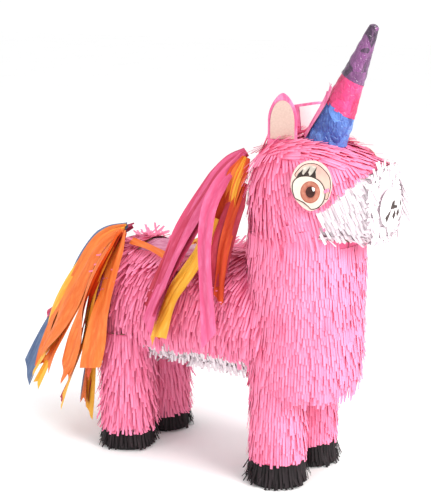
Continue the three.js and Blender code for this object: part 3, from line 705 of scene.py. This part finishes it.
def wrap(name, low, high, stand, closed_tip, material):
    turns, rows = 132, 34
    corners = []
    for row in range(rows + 1):
        for turn in range(turns):
            angle = turn / turns * 2 * pi
            slant = -math.tan(WRAP_SLANT) * horn_radius((low + high) / 2) * sin(WRAP_TURN - angle)
            start = low + (slant - WRAP_LAP if low > 0 else 0)
            stop = high + (TIP_RISE if closed_tip else slant)
            along = start + (stop - start) * row / rows
            if row in (0, rows) and not closed_tip:
                along += 1.6 * noise.noise(round_horn(3, angle, low))
            radius = horn_radius(along) + stand
            if closed_tip and row == rows:
                radius *= 0.62
            place = round_horn(radius, angle, along)
            radius += crumple(place, WRAP_PATCH, WRAP_CREASE * radius / HORN_BASE_RADIUS, low)
            radius += 0.3 * noise.noise(place / 4)
            corners.append(round_horn(radius, angle, along))
    faces = quads(rows, turns, closed=True)
    if closed_tip:
        corners.append(Vector((0, 0, high + 5)))
        faces += [(rows * turns + t, rows * turns + (t + 1) % turns, len(corners) - 1) for t in range(turns)]
    return mesh_piece(name, [horn_frame @ c for c in corners], faces, material=material, smooth=True)


def wrap_paint(dark, plain, pale):
    def paint(b):
        # Painted light and shade: each crease facet takes its own tone between dark and plain, as facets
        # turned towards the lamps and away from them.
        patch = b.node("ShaderNodeTexVoronoi", {}, {"Vector": b.stretched(1, 1, 0.7), "Scale": 52.0}, "Color")
        facet_light_and_shade = b.node("ShaderNodeSeparateColor", {}, {0: patch})
        fine = b.grain(240, 240, 90, 5, 0.65)
        tone = b.mix(b.between(facet_light_and_shade, 0.15, 0.9), dark, plain)
        tone = b.mix(b.between(fine, 0.46, 0.7) * 0.35, tone, pale)
        return b.mix(b.between(b.noise(30, 3), 0.45, 0.7) * 0.5, tone, dark)
    return paint


def wrap_relief(b):
    cracks = b.node("ShaderNodeTexVoronoi", {"feature": "DISTANCE_TO_EDGE"},
                    {"Vector": b.stretched(1, 1, 0.7), "Scale": 120.0})
    return b.between(cracks, 0.0, 0.16) * 0.6 + b.noise(500, 4) * 0.4


BLUE_WRAP = wrap_paint((0.020, 0.05, 0.25), (0.10, 0.22, 0.60), (0.20, 0.40, 0.78))
PINK_WRAP = wrap_paint((0.42, 0.010, 0.08), (0.76, 0.045, 0.20), (0.84, 0.13, 0.34))
PLUM_WRAP = wrap_paint((0.035, 0.014, 0.04), (0.17, 0.05, 0.165), (0.36, 0.17, 0.34))
WRAP_LOOKS = {"blue": look("blue_crepe", BLUE_WRAP, 0.34, wrap_relief, 0.0012, 0.8),
              "pink": look("hot_pink_crepe", PINK_WRAP, 0.38, wrap_relief, 0.0012, 0.7),
              "purple": look("plum_crepe", PLUM_WRAP, 0.22, wrap_relief, 0.0011, 0.9)}
for number, (colour, low, high) in enumerate(WRAPS):
    piece = wrap(f"horn_wrap_{colour}_paper", low, high, WRAP_STAND + 0.35 * number, colour == "purple",
                 WRAP_LOOKS[colour])
    finished(piece, f"horn_wrap_{colour}")


# ======== ears
# Each ear is an arch of card covered in pink tissue, with a smaller arch of beige card glued to its
# face. The right one stands up; the left one has flopped over on to its edge.
EAR_WIDTH, EAR_HEIGHT, EAR_DEPTH, EAR_X, EAR_Y, EAR_RISE = 45, 70, 3.2, 144, 43, 6
LINING_WIDTH, LINING_HEIGHT, LINING_DEPTH, GLUE_DEPTH = 37, 59, 1.2, 0.3
# name, side, degrees turned about the upright and leaned over, and millimetres sunk, set back and raised
EARS = [("right", -1, 20, 0, 14, 0, 0), ("left", 1, 50, 84, 9, 19, EAR_WIDTH / 2)]


def arch(width, height, foot, point, steps=14):
    """Half an arch up and the same half down, from its flat foot."""
    half = width / 2
    a, b, c, d = (half, height * 0.42), (half, height * 0.72), (half * point, height), (0, height)
    side = []
    for i in range(steps + 1):
        t = i / steps
        w = ((1 - t) ** 3, 3 * t * (1 - t) ** 2, 3 * t * t * (1 - t), t ** 3)
        side.append(tuple(sum(k * p[axis] for k, p in zip(w, (a, b, c, d))) for axis in (0, 1)))
    right = [(half, -foot + (side[0][1] + foot) * i / 5) for i in range(5)] + side
    return right + [(-x, y) for x, y in reversed(right[:-1])]


def centre_of(outline):
    return Vector((sum(p[0] for p in outline) / len(outline), sum(p[1] for p in outline) / len(outline)))


def card(name, outline, low, high, frame_of, material, node=None, round_off=0.0):
    """A flat piece of card: an outline in millimetres, from low to high above its frame's plane."""
    count, middle = len(outline), centre_of(outline)
    rings = [(low, 0), (high, 0)]
    if round_off:
        rings = [(low, round_off), (low + round_off, 0), (high - round_off, 0), (high, round_off)]
    corners = []
    for level, inset in rings:
        for x, y in outline:
            away = Vector((x - middle.x, y - middle.y))
            inner = middle + away * (1 - inset / max(away.length, 1e-6))
            corners.append((*inner, level))
    faces = quads(len(rings) - 1, count, closed=True)
    for ring, level in ((0, low), (len(rings) - 1, high)):
        corners.append((*middle, level))
        hub = len(corners) - 1
        for i in range(count):
            a, b = ring * count + i, ring * count + (i + 1) % count
            faces.append((hub, b, a) if ring == 0 else (hub, a, b))
    piece = mesh_piece(name, [frame_of @ Vector(c) for c in corners], faces, material=material)
    return finished(piece, node)


def crease_shaded_tissue_paint(b):
    # Painted shade and light: the tissue is darker in its creases and lighter on the folds between them.
    crease = b.between(b.grain(90, 90, 40, 5, 0.6), 0.4, 0.65)
    return b.mix(crease, (0.60, 0.10, 0.24), (0.80, 0.22, 0.40))


def pale_paint(b):
    return b.mix(b.noise(300), (0.74, 0.66, 0.64), (0.80, 0.73, 0.71))


ear_tissue = look("pink_ear_tissue", crease_shaded_tissue_paint, 0.7, lambda b: b.noise(160, 5), 0.0007, 0.7)
lining_card = look("ear_lining_card", mottled((0.50, 0.355, 0.30), (0.55, 0.405, 0.345), 420, 4, 0.3), 0.6,
                   lambda b: b.noise(900), 0.0001, 0.3)
pale_card = look("pale_ear_lining_card", pale_paint, 0.6)
for side_name, side, turn, lean, sink, back, rise in EARS:
    ear_frame = placed(EAR_X - back, side * EAR_Y, HEAD_TOP + EAR_RISE + rise,
                       (turn, "Z"), (90, "X"), (-lean, "Z"))
    card(f"ear_{side_name}_tissue", arch(EAR_WIDTH, EAR_HEIGHT, sink, 0.3), -EAR_DEPTH, 0, ear_frame,
         ear_tissue, f"ear_{side_name}", 0.9)
    card(f"ear_lining_{side_name}_card", arch(LINING_WIDTH, LINING_HEIGHT, -1, 0.62), GLUE_DEPTH,
         GLUE_DEPTH + LINING_DEPTH, ear_frame, lining_card if side < 0 else pale_card,
         f"ear_lining_{side_name}", 0.3)


# ======== printed eye labels
# The eyes are cut from printed card and glued over the fringe of the cheeks. The print is a cartoon
# eye: a cream edge, a flesh-coloured lid with three lashes, the white of the eye and a brown iris.
EYE_X, EYE_RISE, EYE_TURN, EYE_TILT, EYE_OUT = 221, 84, 22, 6, 90
NECK_SEAM = 400
LABEL_DEPTH, INK_DEPTH, INK_SINK = 1.2, 0.12, 0.02


def curve_at(p0, p1, p2, p3, t):
    """A point between p1 and p2 of a smooth line through all four."""
    return 0.5 * (2 * p1 + (p2 - p0) * t + (2 * p0 - 5 * p1 + 4 * p2 - p3) * t * t
                  + (3 * p1 - p0 - 3 * p2 + p3) * t ** 3)


def drawn(points, steps=6):
    """A smooth closed line through the points."""
    line = []
    for i in range(len(points)):
        near = [Vector(points[(i + k) % len(points)]) for k in (-1, 0, 1, 2)]
        line += [tuple(curve_at(*near, step / steps)) for step in range(steps)]
    return line


def oval(x, y, half_x, half_y, steps=40):
    turns = [2 * pi * i / steps for i in range(steps)]
    return [(x + half_x * cos(turn), y + half_y * sin(turn)) for turn in turns]


def widened(outline, by):
    middle = centre_of(outline)
    rays = [Vector(p) - middle for p in outline]
    return [tuple(middle + ray * (1 + by / max(ray.length, 1e-6))) for ray in rays]


def ink(name, tone, other):
    return look(name, mottled(tone, other, 180), 0.42, gloss=0.2)


INKS = {
    "cream": ink("cream_print", (0.66, 0.47, 0.41), (0.70, 0.53, 0.47)),
    "line": ink("dark_line_print", (0.030, 0.020, 0.018), (0.060, 0.040, 0.035)),
    "lid": look("lid_print", mottled((0.62, 0.43, 0.35), (0.60, 0.29, 0.26), 30, 2, 0.4, 0.65), 0.42),
    "white": ink("eye_white_print", (0.62, 0.54, 0.46), (0.67, 0.59, 0.51)),
    "iris": ink("iris_print", (0.38, 0.135, 0.09), (0.45, 0.19, 0.13)),
    "ring": ink("iris_ring_print", (0.30, 0.085, 0.06), (0.42, 0.14, 0.10)),
    "pupil": ink("pupil_print", (0.035, 0.012, 0.010), (0.06, 0.02, 0.016)),
    "glint": ink("glint_print", (0.86, 0.82, 0.78), (0.93, 0.90, 0.86)),
    "lash_grey": ink("lash_shade_print", (0.42, 0.38, 0.33), (0.62, 0.56, 0.49)),
}
label_outline = drawn([(0, -36.5), (-20, -23.5), (-29.3, -6), (-29.5, 10), (-22, 27), (-8, 36), (8, 36),
                       (22, 27), (29.6, 10), (29.3, -6), (22, -23)])
lid = drawn([(-23.1, 13.7), (-19.5, 22.2), (-12.4, 29.1), (-3, 31.9), (7.9, 30.6), (17.3, 23.7), (25.1, 13.7),
             (27.4, 1.4), (25.9, -9.4), (22, -18.7), (10, -8), (-6, 4)])
eyeball = drawn([(-25.7, 4.4), (-26.5, -4.8), (-24.1, -14.8), (-21, -18.7), (-10.9, -23.3), (-3.8, -28.7),
                 (1.3, -33.0), (9.5, -31), (15.7, -24.8), (18.8, -17.9), (19.6, -9.4), (16.5, 0.6),
                 (9.5, 8.3), (-1.5, 12.9), (-12.4, 13.2), (-20.2, 10.6)])
# Each print lies on the one before it.
EYE_PRINT = [
    ("lid_line", widened(lid, 1.2), "line"), ("lid", lid, "lid"),
    ("lash_shade", [(-22, 13), (-18, 21), (-11, 27), (-2, 29.5), (6.5, 28), (6.8, 11), (-1.5, 14),
                    (-12.4, 14)], "lash_grey"),
    ("lash_one", [(-22.2, 11.5), (-19.6, 17), (-12.4, 24.2), (-14, 18), (-10.5, 13.2), (-16, 12)], "line"),
    ("lash_two", [(-14, 13), (-10.6, 17.4), (-2.3, 27.6), (-4.6, 19.4), (-2.4, 12.4)], "line"),
    ("lash_three", [(-5, 12.4), (0.6, 17.2), (7.8, 28.2), (5.6, 20.4), (7.0, 9.8)], "line"),
    ("eyeball_line", widened(eyeball, 1.5), "line"), ("eyeball", eyeball, "white"),
    ("iris_line", oval(-1.2, -9.1, 14.4, 16.1), "ring"), ("iris", oval(-1.2, -9.1, 13.1, 14.8), "iris"),
    ("iris_ring", oval(-0.8, -8.8, 8.6, 9.8), "ring"), ("pupil", oval(-0.8, -8.8, 7.0, 8.2), "pupil"),
    ("glint", drawn([(1.2, -2.2), (5.0, -2.8), (5.3, -6.8), (2.8, -7.2)]), "glint"),
]
for side_name, side in (("right", -1), ("left", 1)):
    turn = EYE_TURN if side < 0 else 180 - EYE_TURN
    eye_frame = placed(EYE_X, side * EYE_OUT, NECK_SEAM + EYE_RISE, (turn, "Z"), (90 - EYE_TILT, "X"))
    mirror = (lambda line: line) if side < 0 else (lambda line: [(-x, y) for x, y in reversed(line)])
    card(f"eye_label_{side_name}_card", mirror(label_outline), 0, LABEL_DEPTH, eye_frame, INKS["cream"],
         f"eye_label_{side_name}")
    for level, (part, line, tone) in enumerate(EYE_PRINT):
        low = LABEL_DEPTH - INK_SINK + INK_DEPTH * level
        card(f"eye_{side_name}_{part}", mirror(line), low - 0.1 * (level > 0), low + INK_DEPTH, eye_frame,
             INKS[tone])


# ======== mouth label
# A white printed card closes the muzzle's front, with a few dark strokes for the mouth. The fringe
# round it lies against its edge.
MOUTH_WIDTH, MOUTH_HEIGHT, MOUTH_Y, MOUTH_RISE, MOUTH_X = 74, 60, 6, 46, 303.3
mouth_frame = placed(MOUTH_X, MOUTH_Y, NECK_SEAM + MOUTH_RISE, (90, "Z"), (90, "X"))
white_card = look("white_label_card", mottled((0.68, 0.63, 0.66), (0.74, 0.70, 0.72), 60, 4, 0.4), 0.6)
MOUTH_STROKES = [
    [(-21, -13), (-1, -3), (-4, -9), (-15, -21)], [(-4, -3), (3, 8), (12, 9.5), (10, 2), (21, 0), (20, -3.6)],
    [(3, -14), (12, -5), (15, -12), (9, -20)], [(17, -12), (24, -4), (27, -12), (20, -18)],
    [(28, 0), (33, 11), (34, 3), (31, -3)],
]
card("mouth_label_card", oval(0, 0, MOUTH_WIDTH / 2, MOUTH_HEIGHT / 2), 0, LABEL_DEPTH, mouth_frame,
     white_card, "mouth_label")
for number, stroke in enumerate(MOUTH_STROKES):
    card(f"mouth_stroke_{number + 1}", stroke, LABEL_DEPTH - INK_SINK, LABEL_DEPTH + INK_DEPTH, mouth_frame,
         INKS["line"])


# ======== mane and tail streamers
# Long strips of crepe tissue are gathered at one end and glued to the back of the neck and to the
# top of the rump. They hang in soft lengthwise folds, and their ends are cut at a slant or notched.


def streamer_look(name, deep, plain, pale):
    def paint(b):
        uv = b.attribute("strip", "Vector")
        grain = b.grain(22, 2.2, 1, 4, 0.6, uv)
        fibre = b.grain(140, 30, 1, 3, 0.6, uv)
        tone = b.mix(b.between(grain, 0.35, 0.68), deep, plain)
        return b.mix(b.between(fibre, 0.4, 0.75) * 0.5, tone, pale)

    def relief(b):
        return b.grain(120, 14, 1, 4, 0.65, b.attribute("strip", "Vector"))
    return look(f"{name}_streamer", paint, 0.66, relief, 0.0005, 0.6)


STREAMERS = {name: streamer_look(name, *tones) for name, tones in {
    "orange": ((0.72, 0.12, 0.008), (0.86, 0.215, 0.025), (0.92, 0.32, 0.07)),
    "flame": ((0.52, 0.032, 0.003), (0.66, 0.065, 0.004), (0.78, 0.13, 0.01)),
    "yellow": ((0.80, 0.34, 0.012), (0.90, 0.52, 0.045), (0.95, 0.64, 0.12)),
    "blue": ((0.05, 0.09, 0.20), (0.11, 0.17, 0.32), (0.19, 0.27, 0.42)),
    "hot_pink": ((0.46, 0.020, 0.07), (0.66, 0.060, 0.16), (0.76, 0.13, 0.27)),
    "light_pink": ((0.60, 0.06, 0.17), (0.77, 0.13, 0.29), (0.84, 0.22, 0.40)),
    "crimson": ((0.36, 0.010, 0.03), (0.54, 0.030, 0.07), (0.66, 0.07, 0.13)),
}.items()}
OUTSIDE = -106
NECK_REAR, TAIL_ROOT, BODY_TOP, BODY_AXIS, FRINGE_RADIUS = 74, -172, 358, 257, 101
TWIST, PLEATS, GATHERED_TO, RIPPLE = 0.3, 1.5, 0.2, 0.8
CUT_STEP = 12  # millimetres that a cut or notch of 1 takes off an end


def smooth_route(points, steps):
    """Points evenly along a smooth line through the given ones, and its length."""
    ends = [2 * points[0] - points[1], *points, 2 * points[-1] - points[-2]]
    fine = [curve_at(*ends[i - 1:i + 3], step / 12) for i in range(1, len(ends) - 2) for step in range(12)]
    fine.append(points[-1])
    runs = [0.0]
    for a, b in zip(fine, fine[1:]):
        runs.append(runs[-1] + (b - a).length)
    route, k = [], 0
    for step in range(steps + 1):
        run = runs[-1] * step / steps
        while k < len(runs) - 2 and runs[k + 1] < run:
            k += 1
        route.append(fine[k].lerp(fine[k + 1], (run - runs[k]) / max(runs[k + 1] - runs[k], TINY)))
    return route, runs[-1]


def streamer(name, route, width, face, tone, seed, cut=0.0, notch=0.0, fan=0.0, lift=0.0, fold=3.0,
             gather=0.42, longer=0.0):
    """A strip along a route. cut slants its end, notch takes a V from it, fan and lift move its end aside
    and out, fold deepens its pleats, gather is its share of width at the root, longer draws out the end."""
    chance = random.Random(seed)
    route = [Vector(place) for place in route]
    if longer:
        route.append(route[-1] + (route[-1] - route[-2]) * longer)
    steps, across_steps = 46, 10
    line, length = smooth_route(route, steps)
    face = Vector(face)
    phase, sway = chance.uniform(-1, 1), chance.uniform(0, 6)
    corners, uvs = [], []
    for i in range(steps + 1):
        share = i / steps
        for j in range(across_steps + 1):
            u = -1 + 2 * j / across_steps
            shorter = cut * (u + 1) / 2 + notch * (1 - abs(u)) if share > 0 else 0
            t = share * (1 - shorter * CUT_STEP / length)
            k = min(int(t * steps), steps - 1)
            place = line[k].lerp(line[k + 1], t * steps - k)
            ahead = (line[min(k + 1, steps)] - line[max(k - 1, 0)]).normalized()
            side = face.cross(ahead).normalized()
            out = ahead.cross(side)
            if out.dot(face) < 0:
                out = -out
            turn = TWIST * sin(2.2 * t * pi + sway) * min(1, t * 2)
            half = width / 2 * min(1, gather + (1 - gather) * t / GATHERED_TO)
            pleat = cos(pi * (PLEATS * u + phase + 0.5 * sin(2 * t)))
            crease = fold * (1.15 - 0.55 * t) * pleat + RIPPLE * sin(9 * t + 2 * u + sway)
            flat = side * cos(turn) + out * sin(turn)
            proud = out * cos(turn) - side * sin(turn)
            place = place + flat * (u * half * 0.94) + proud * crease * 0.5
            place = place + side * (fan * t ** 1.4) + out * (lift * (0.4 + t))
            corners.append(at(*place))
            uvs.append((u * width / 2000, t * length / 1000))
    piece = mesh_piece(name, corners, quads(steps, across_steps + 1), material=STREAMERS[tone], smooth=True)
    layer = piece.data.uv_layers.new(name="strip")
    for loop in piece.data.loops:
        layer.data[loop.index].uv = uvs[loop.vertex_index]
    return piece, length


def mane_route(*points, root=NECK_REAR, top=HEAD_TOP):
    """Points as back from the root, share of the way out to the right side, and down from the top."""
    return [(root - back, OUTSIDE * share, top - down) for back, share, down in points]


def tail_route(*points):
    return mane_route(*points, root=TAIL_ROOT, top=BODY_TOP)


def laid_route(*points):
    """Points as back from the neck's rear, degrees down round the body from its top, and off its fringe."""
    return [(NECK_REAR - back, -(FRINGE_RADIUS + clear) * sin(radians(turn)),
             BODY_AXIS + (FRINGE_RADIUS + clear) * cos(radians(turn))) for back, turn, clear in points]


def strip(tone, width, **how):
    return tone, width, how


MANE_OUT, TAIL_OUT = (-0.3, -0.92, 0.25), (-0.4, -0.8, 0.45)
# Each streamer's node, its route, the way it faces, and its strips. The first strip stands in for the node.
HANGING = [
    ("mane_pink_outer", mane_route(
        (12, 0.12, 22), (36, 0.32, 43), (62, 0.55, 95), (86, 0.81, 157), (106, 1, 217), (122, 1.06, 255),
        (136, 1.08, 291)), MANE_OUT,
     [strip("hot_pink", 50, cut=1.6, fold=5), strip("light_pink", 30, fan=12, lift=3, cut=-1.2),
      strip("crimson", 30, fan=-13, lift=-3, cut=1.8)]),
    ("mane_pink_front", mane_route(
        (9, 0.25, 24), (28, 0.53, 63), (36, 0.77, 105), (32, 0.94, 157), (22, 1.06, 205), (14, 1.11, 259),
        (10, 1.12, 317)), (0.1, -0.98, 0.2), [strip("light_pink", 26, cut=2.2, fold=3.5, lift=3)]),
    ("mane_yellow", mane_route(
        (34, 0.6, 123), (46, 0.79, 169), (64, 0.96, 213), (86, 1.02, 250), (116, 1.03, 319)), MANE_OUT,
     [strip("yellow", 34, fan=9, lift=5, cut=1.2), strip("yellow", 28, fan=-12, lift=3, cut=-1.5),
      strip("flame", 16, fan=-2, lift=1)]),
    ("mane_orange", mane_route(
        (-5, 0.38, 26), (12, 0.47, 73), (22, 0.51, 120), (26, 0.55, 155)), (0.1, -0.98, 0.1),
     [strip("orange", 26, lift=2, fan=4), strip("flame", 34, fan=-13, cut=1.5),
      strip("yellow", 12, fan=12, lift=4)]),
    # mane_crimson is a real streamer, but its dark crimson also fills the corner between the neck and the
    # back that lies in the shade of the mane: partly painted shade.
    ("mane_crimson", mane_route(
        (-2, 0.40, 66), (8, 0.58, 118), (14, 0.74, 163), (14, 0.87, 200), (16, 0.93, 235)), (0.1, -0.98, 0.2),
     [strip("crimson", 38, cut=1.5, fan=-4), strip("flame", 20, fan=9, lift=2, cut=-1.4)]),
    ("mane_back_orange", laid_route((94, 46.3, 9), (156, 34.3, 8), (213, 27.2, 8)),
     (0, -0.55, 0.84), [strip("orange", 14, fold=1.2, gather=0.8)]),
    ("mane_back_yellow", laid_route(
        (84, 11.1, 14.2), (93, 20.1, 13), (110, 28.9, 13.2), (128, 35.4, 14.3)), (0, -0.45, 0.89),
     [strip("yellow", 13, fold=1.2, gather=0.8)]),
    ("tail_orange_outer", tail_route(
        (6, 0.226, -3), (21, 0.434, 9), (39, 0.547, 38), (61, 0.566, 79), (87, 0.566, 125), (113, 0.566, 171),
        (142, 0.566, 212), (162, 0.566, 243)), TAIL_OUT,
     [strip("orange", 54, fan=-6, lift=4, cut=1.6, fold=5), strip("orange", 40, fan=17, lift=-3, notch=1.2),
      strip("yellow", 30, fan=-18, lift=-4, longer=1.2, cut=-1.4),
      strip("yellow", 22, fan=4, lift=-8, longer=1.6, notch=1.0)]),
    ("tail_orange_middle", tail_route(
        (0, 0.321, -1), (-5, 0.604, 13), (-1, 0.84, 40), (8, 0.972, 74), (26, 0.925, 116), (49, 0.792, 164),
        (71, 0.726, 208), (90, 0.679, 240)), (-0.6, -0.75, 0.3),
     [strip("orange", 54, lift=6, cut=-1.6, fold=5), strip("flame", 40, fan=-15, lift=-3, cut=1.4),
      strip("orange", 36, fan=14, lift=5, notch=1.0),
      strip("crimson", 26, fan=-3, lift=-8, longer=2.4, cut=0.6),
      strip("yellow", 26, fan=9, lift=-6, longer=1.8, cut=-1.4)]),
    ("tail_orange_inner", tail_route(
        (-12, 0.377, -2), (-21, 0.585, 10), (-27, 0.792, 30), (-29, 0.934, 55), (-27, 1.038, 88),
        (-17, 1.057, 123), (-8, 1.038, 158), (2, 1.028, 194), (12, 1.019, 228)), (-0.3, -0.95, 0.1),
     [strip("orange", 46, cut=2.0, fold=4, lift=4), strip("flame", 26, fan=-13, lift=-2, cut=-1.6)]),
    ("tail_yellow", tail_route(
        (11, 0.075, -5), (53, 0.047, 12), (89, 0.075, 47), (133, 0.113, 112), (171, 0.132, 172),
        (195, 0.151, 232), (205, 0.17, 273)), TAIL_OUT,
     [strip("yellow", 42, notch=1.4), strip("orange", 34, fan=15, lift=4, cut=1.8)]),
    ("tail_blue", tail_route(
        (14, -0.019, -5), (70, -0.057, 19), (116, -0.075, 64), (163, -0.057, 133), (207, -0.038, 207),
        (248, -0.019, 286)), TAIL_OUT, [strip("blue", 42, cut=-2.6)]),
    ("tail_pink", tail_route(
        (12, -0.151, -5), (74, -0.264, 26), (114, -0.264, 63), (156, -0.245, 120), (189, -0.226, 163),
        (221, -0.189, 187)), TAIL_OUT, [strip("hot_pink", 30, cut=0.6)]),
    ("tail_crimson", tail_route(
        (16, 0.057, 0), (44, 0.075, 40), (56, 0.113, 91), (69, 0.17, 155), (81, 0.208, 220), (88, 0.226, 276),
        (92, 0.245, 322)), TAIL_OUT,
     [strip("crimson", 34, cut=0.8), strip("blue", 20, fan=-14, cut=1.2),
      strip("yellow", 26, fan=16, cut=-1.6), strip("orange", 30, fan=4, lift=5, notch=1.2)]),
]
for number, (node, route, face, strips) in enumerate(HANGING):
    for count, (tone, width, how) in enumerate(strips):
        name, seed = f"{node}_strip_{count + 1}", 50 + 7 * number + count
        piece, length = streamer(name, route, width, face, tone, seed, **how)
        finished(piece, None if count else node)
        width / 1000
        length / 1000


# ======== forelock
# A short fringed strip of tissue stands up against the back of the horn, with its top ends curling.
FORELOCK_LENGTH, FORELOCK_ROOT, FORELOCK_STAND, FORELOCK_WIDTH, FORELOCK_STRANDS = 84, 8, 4.5, 6.5, 11
FORELOCK_ROWS = 12
chance = random.Random(5)
corners, faces = [], []
for strand in range(FORELOCK_STRANDS):
    start = pi + radians(-46 + 92 * strand / (FORELOCK_STRANDS - 1) + chance.uniform(-3, 3))
    long, curl = FORELOCK_LENGTH * chance.uniform(0.8, 1.0), chance.uniform(3, 13)
    faces += quads(FORELOCK_ROWS, 3, first=len(corners))
    for i in range(FORELOCK_ROWS + 1):
        t = i / FORELOCK_ROWS
        along = -FORELOCK_ROOT + (long + FORELOCK_ROOT) * t
        radius = horn_radius(along) + FORELOCK_STAND + curl * max(0, t - 0.62) ** 2 * 5
        angle = start + 0.05 * sin(6 * t + strand)
        middle = round_horn(radius, angle, along - curl * max(0, t - 0.8) ** 2 * 12)
        side = Vector((-sin(angle + t * 0.5), cos(angle + t * 0.5), 0)) * FORELOCK_WIDTH / 2 * (1 - 0.35 * t)
        for share, proud in ((-1, 0), (0, 0.5), (1, 0)):
            corners.append(horn_frame @ (middle + side * share + round_horn(proud, angle, 0)))
forelock = mesh_piece("forelock_strands", corners, faces, material=ear_tissue, smooth=True)
finished(forelock, "forelock_fringe")
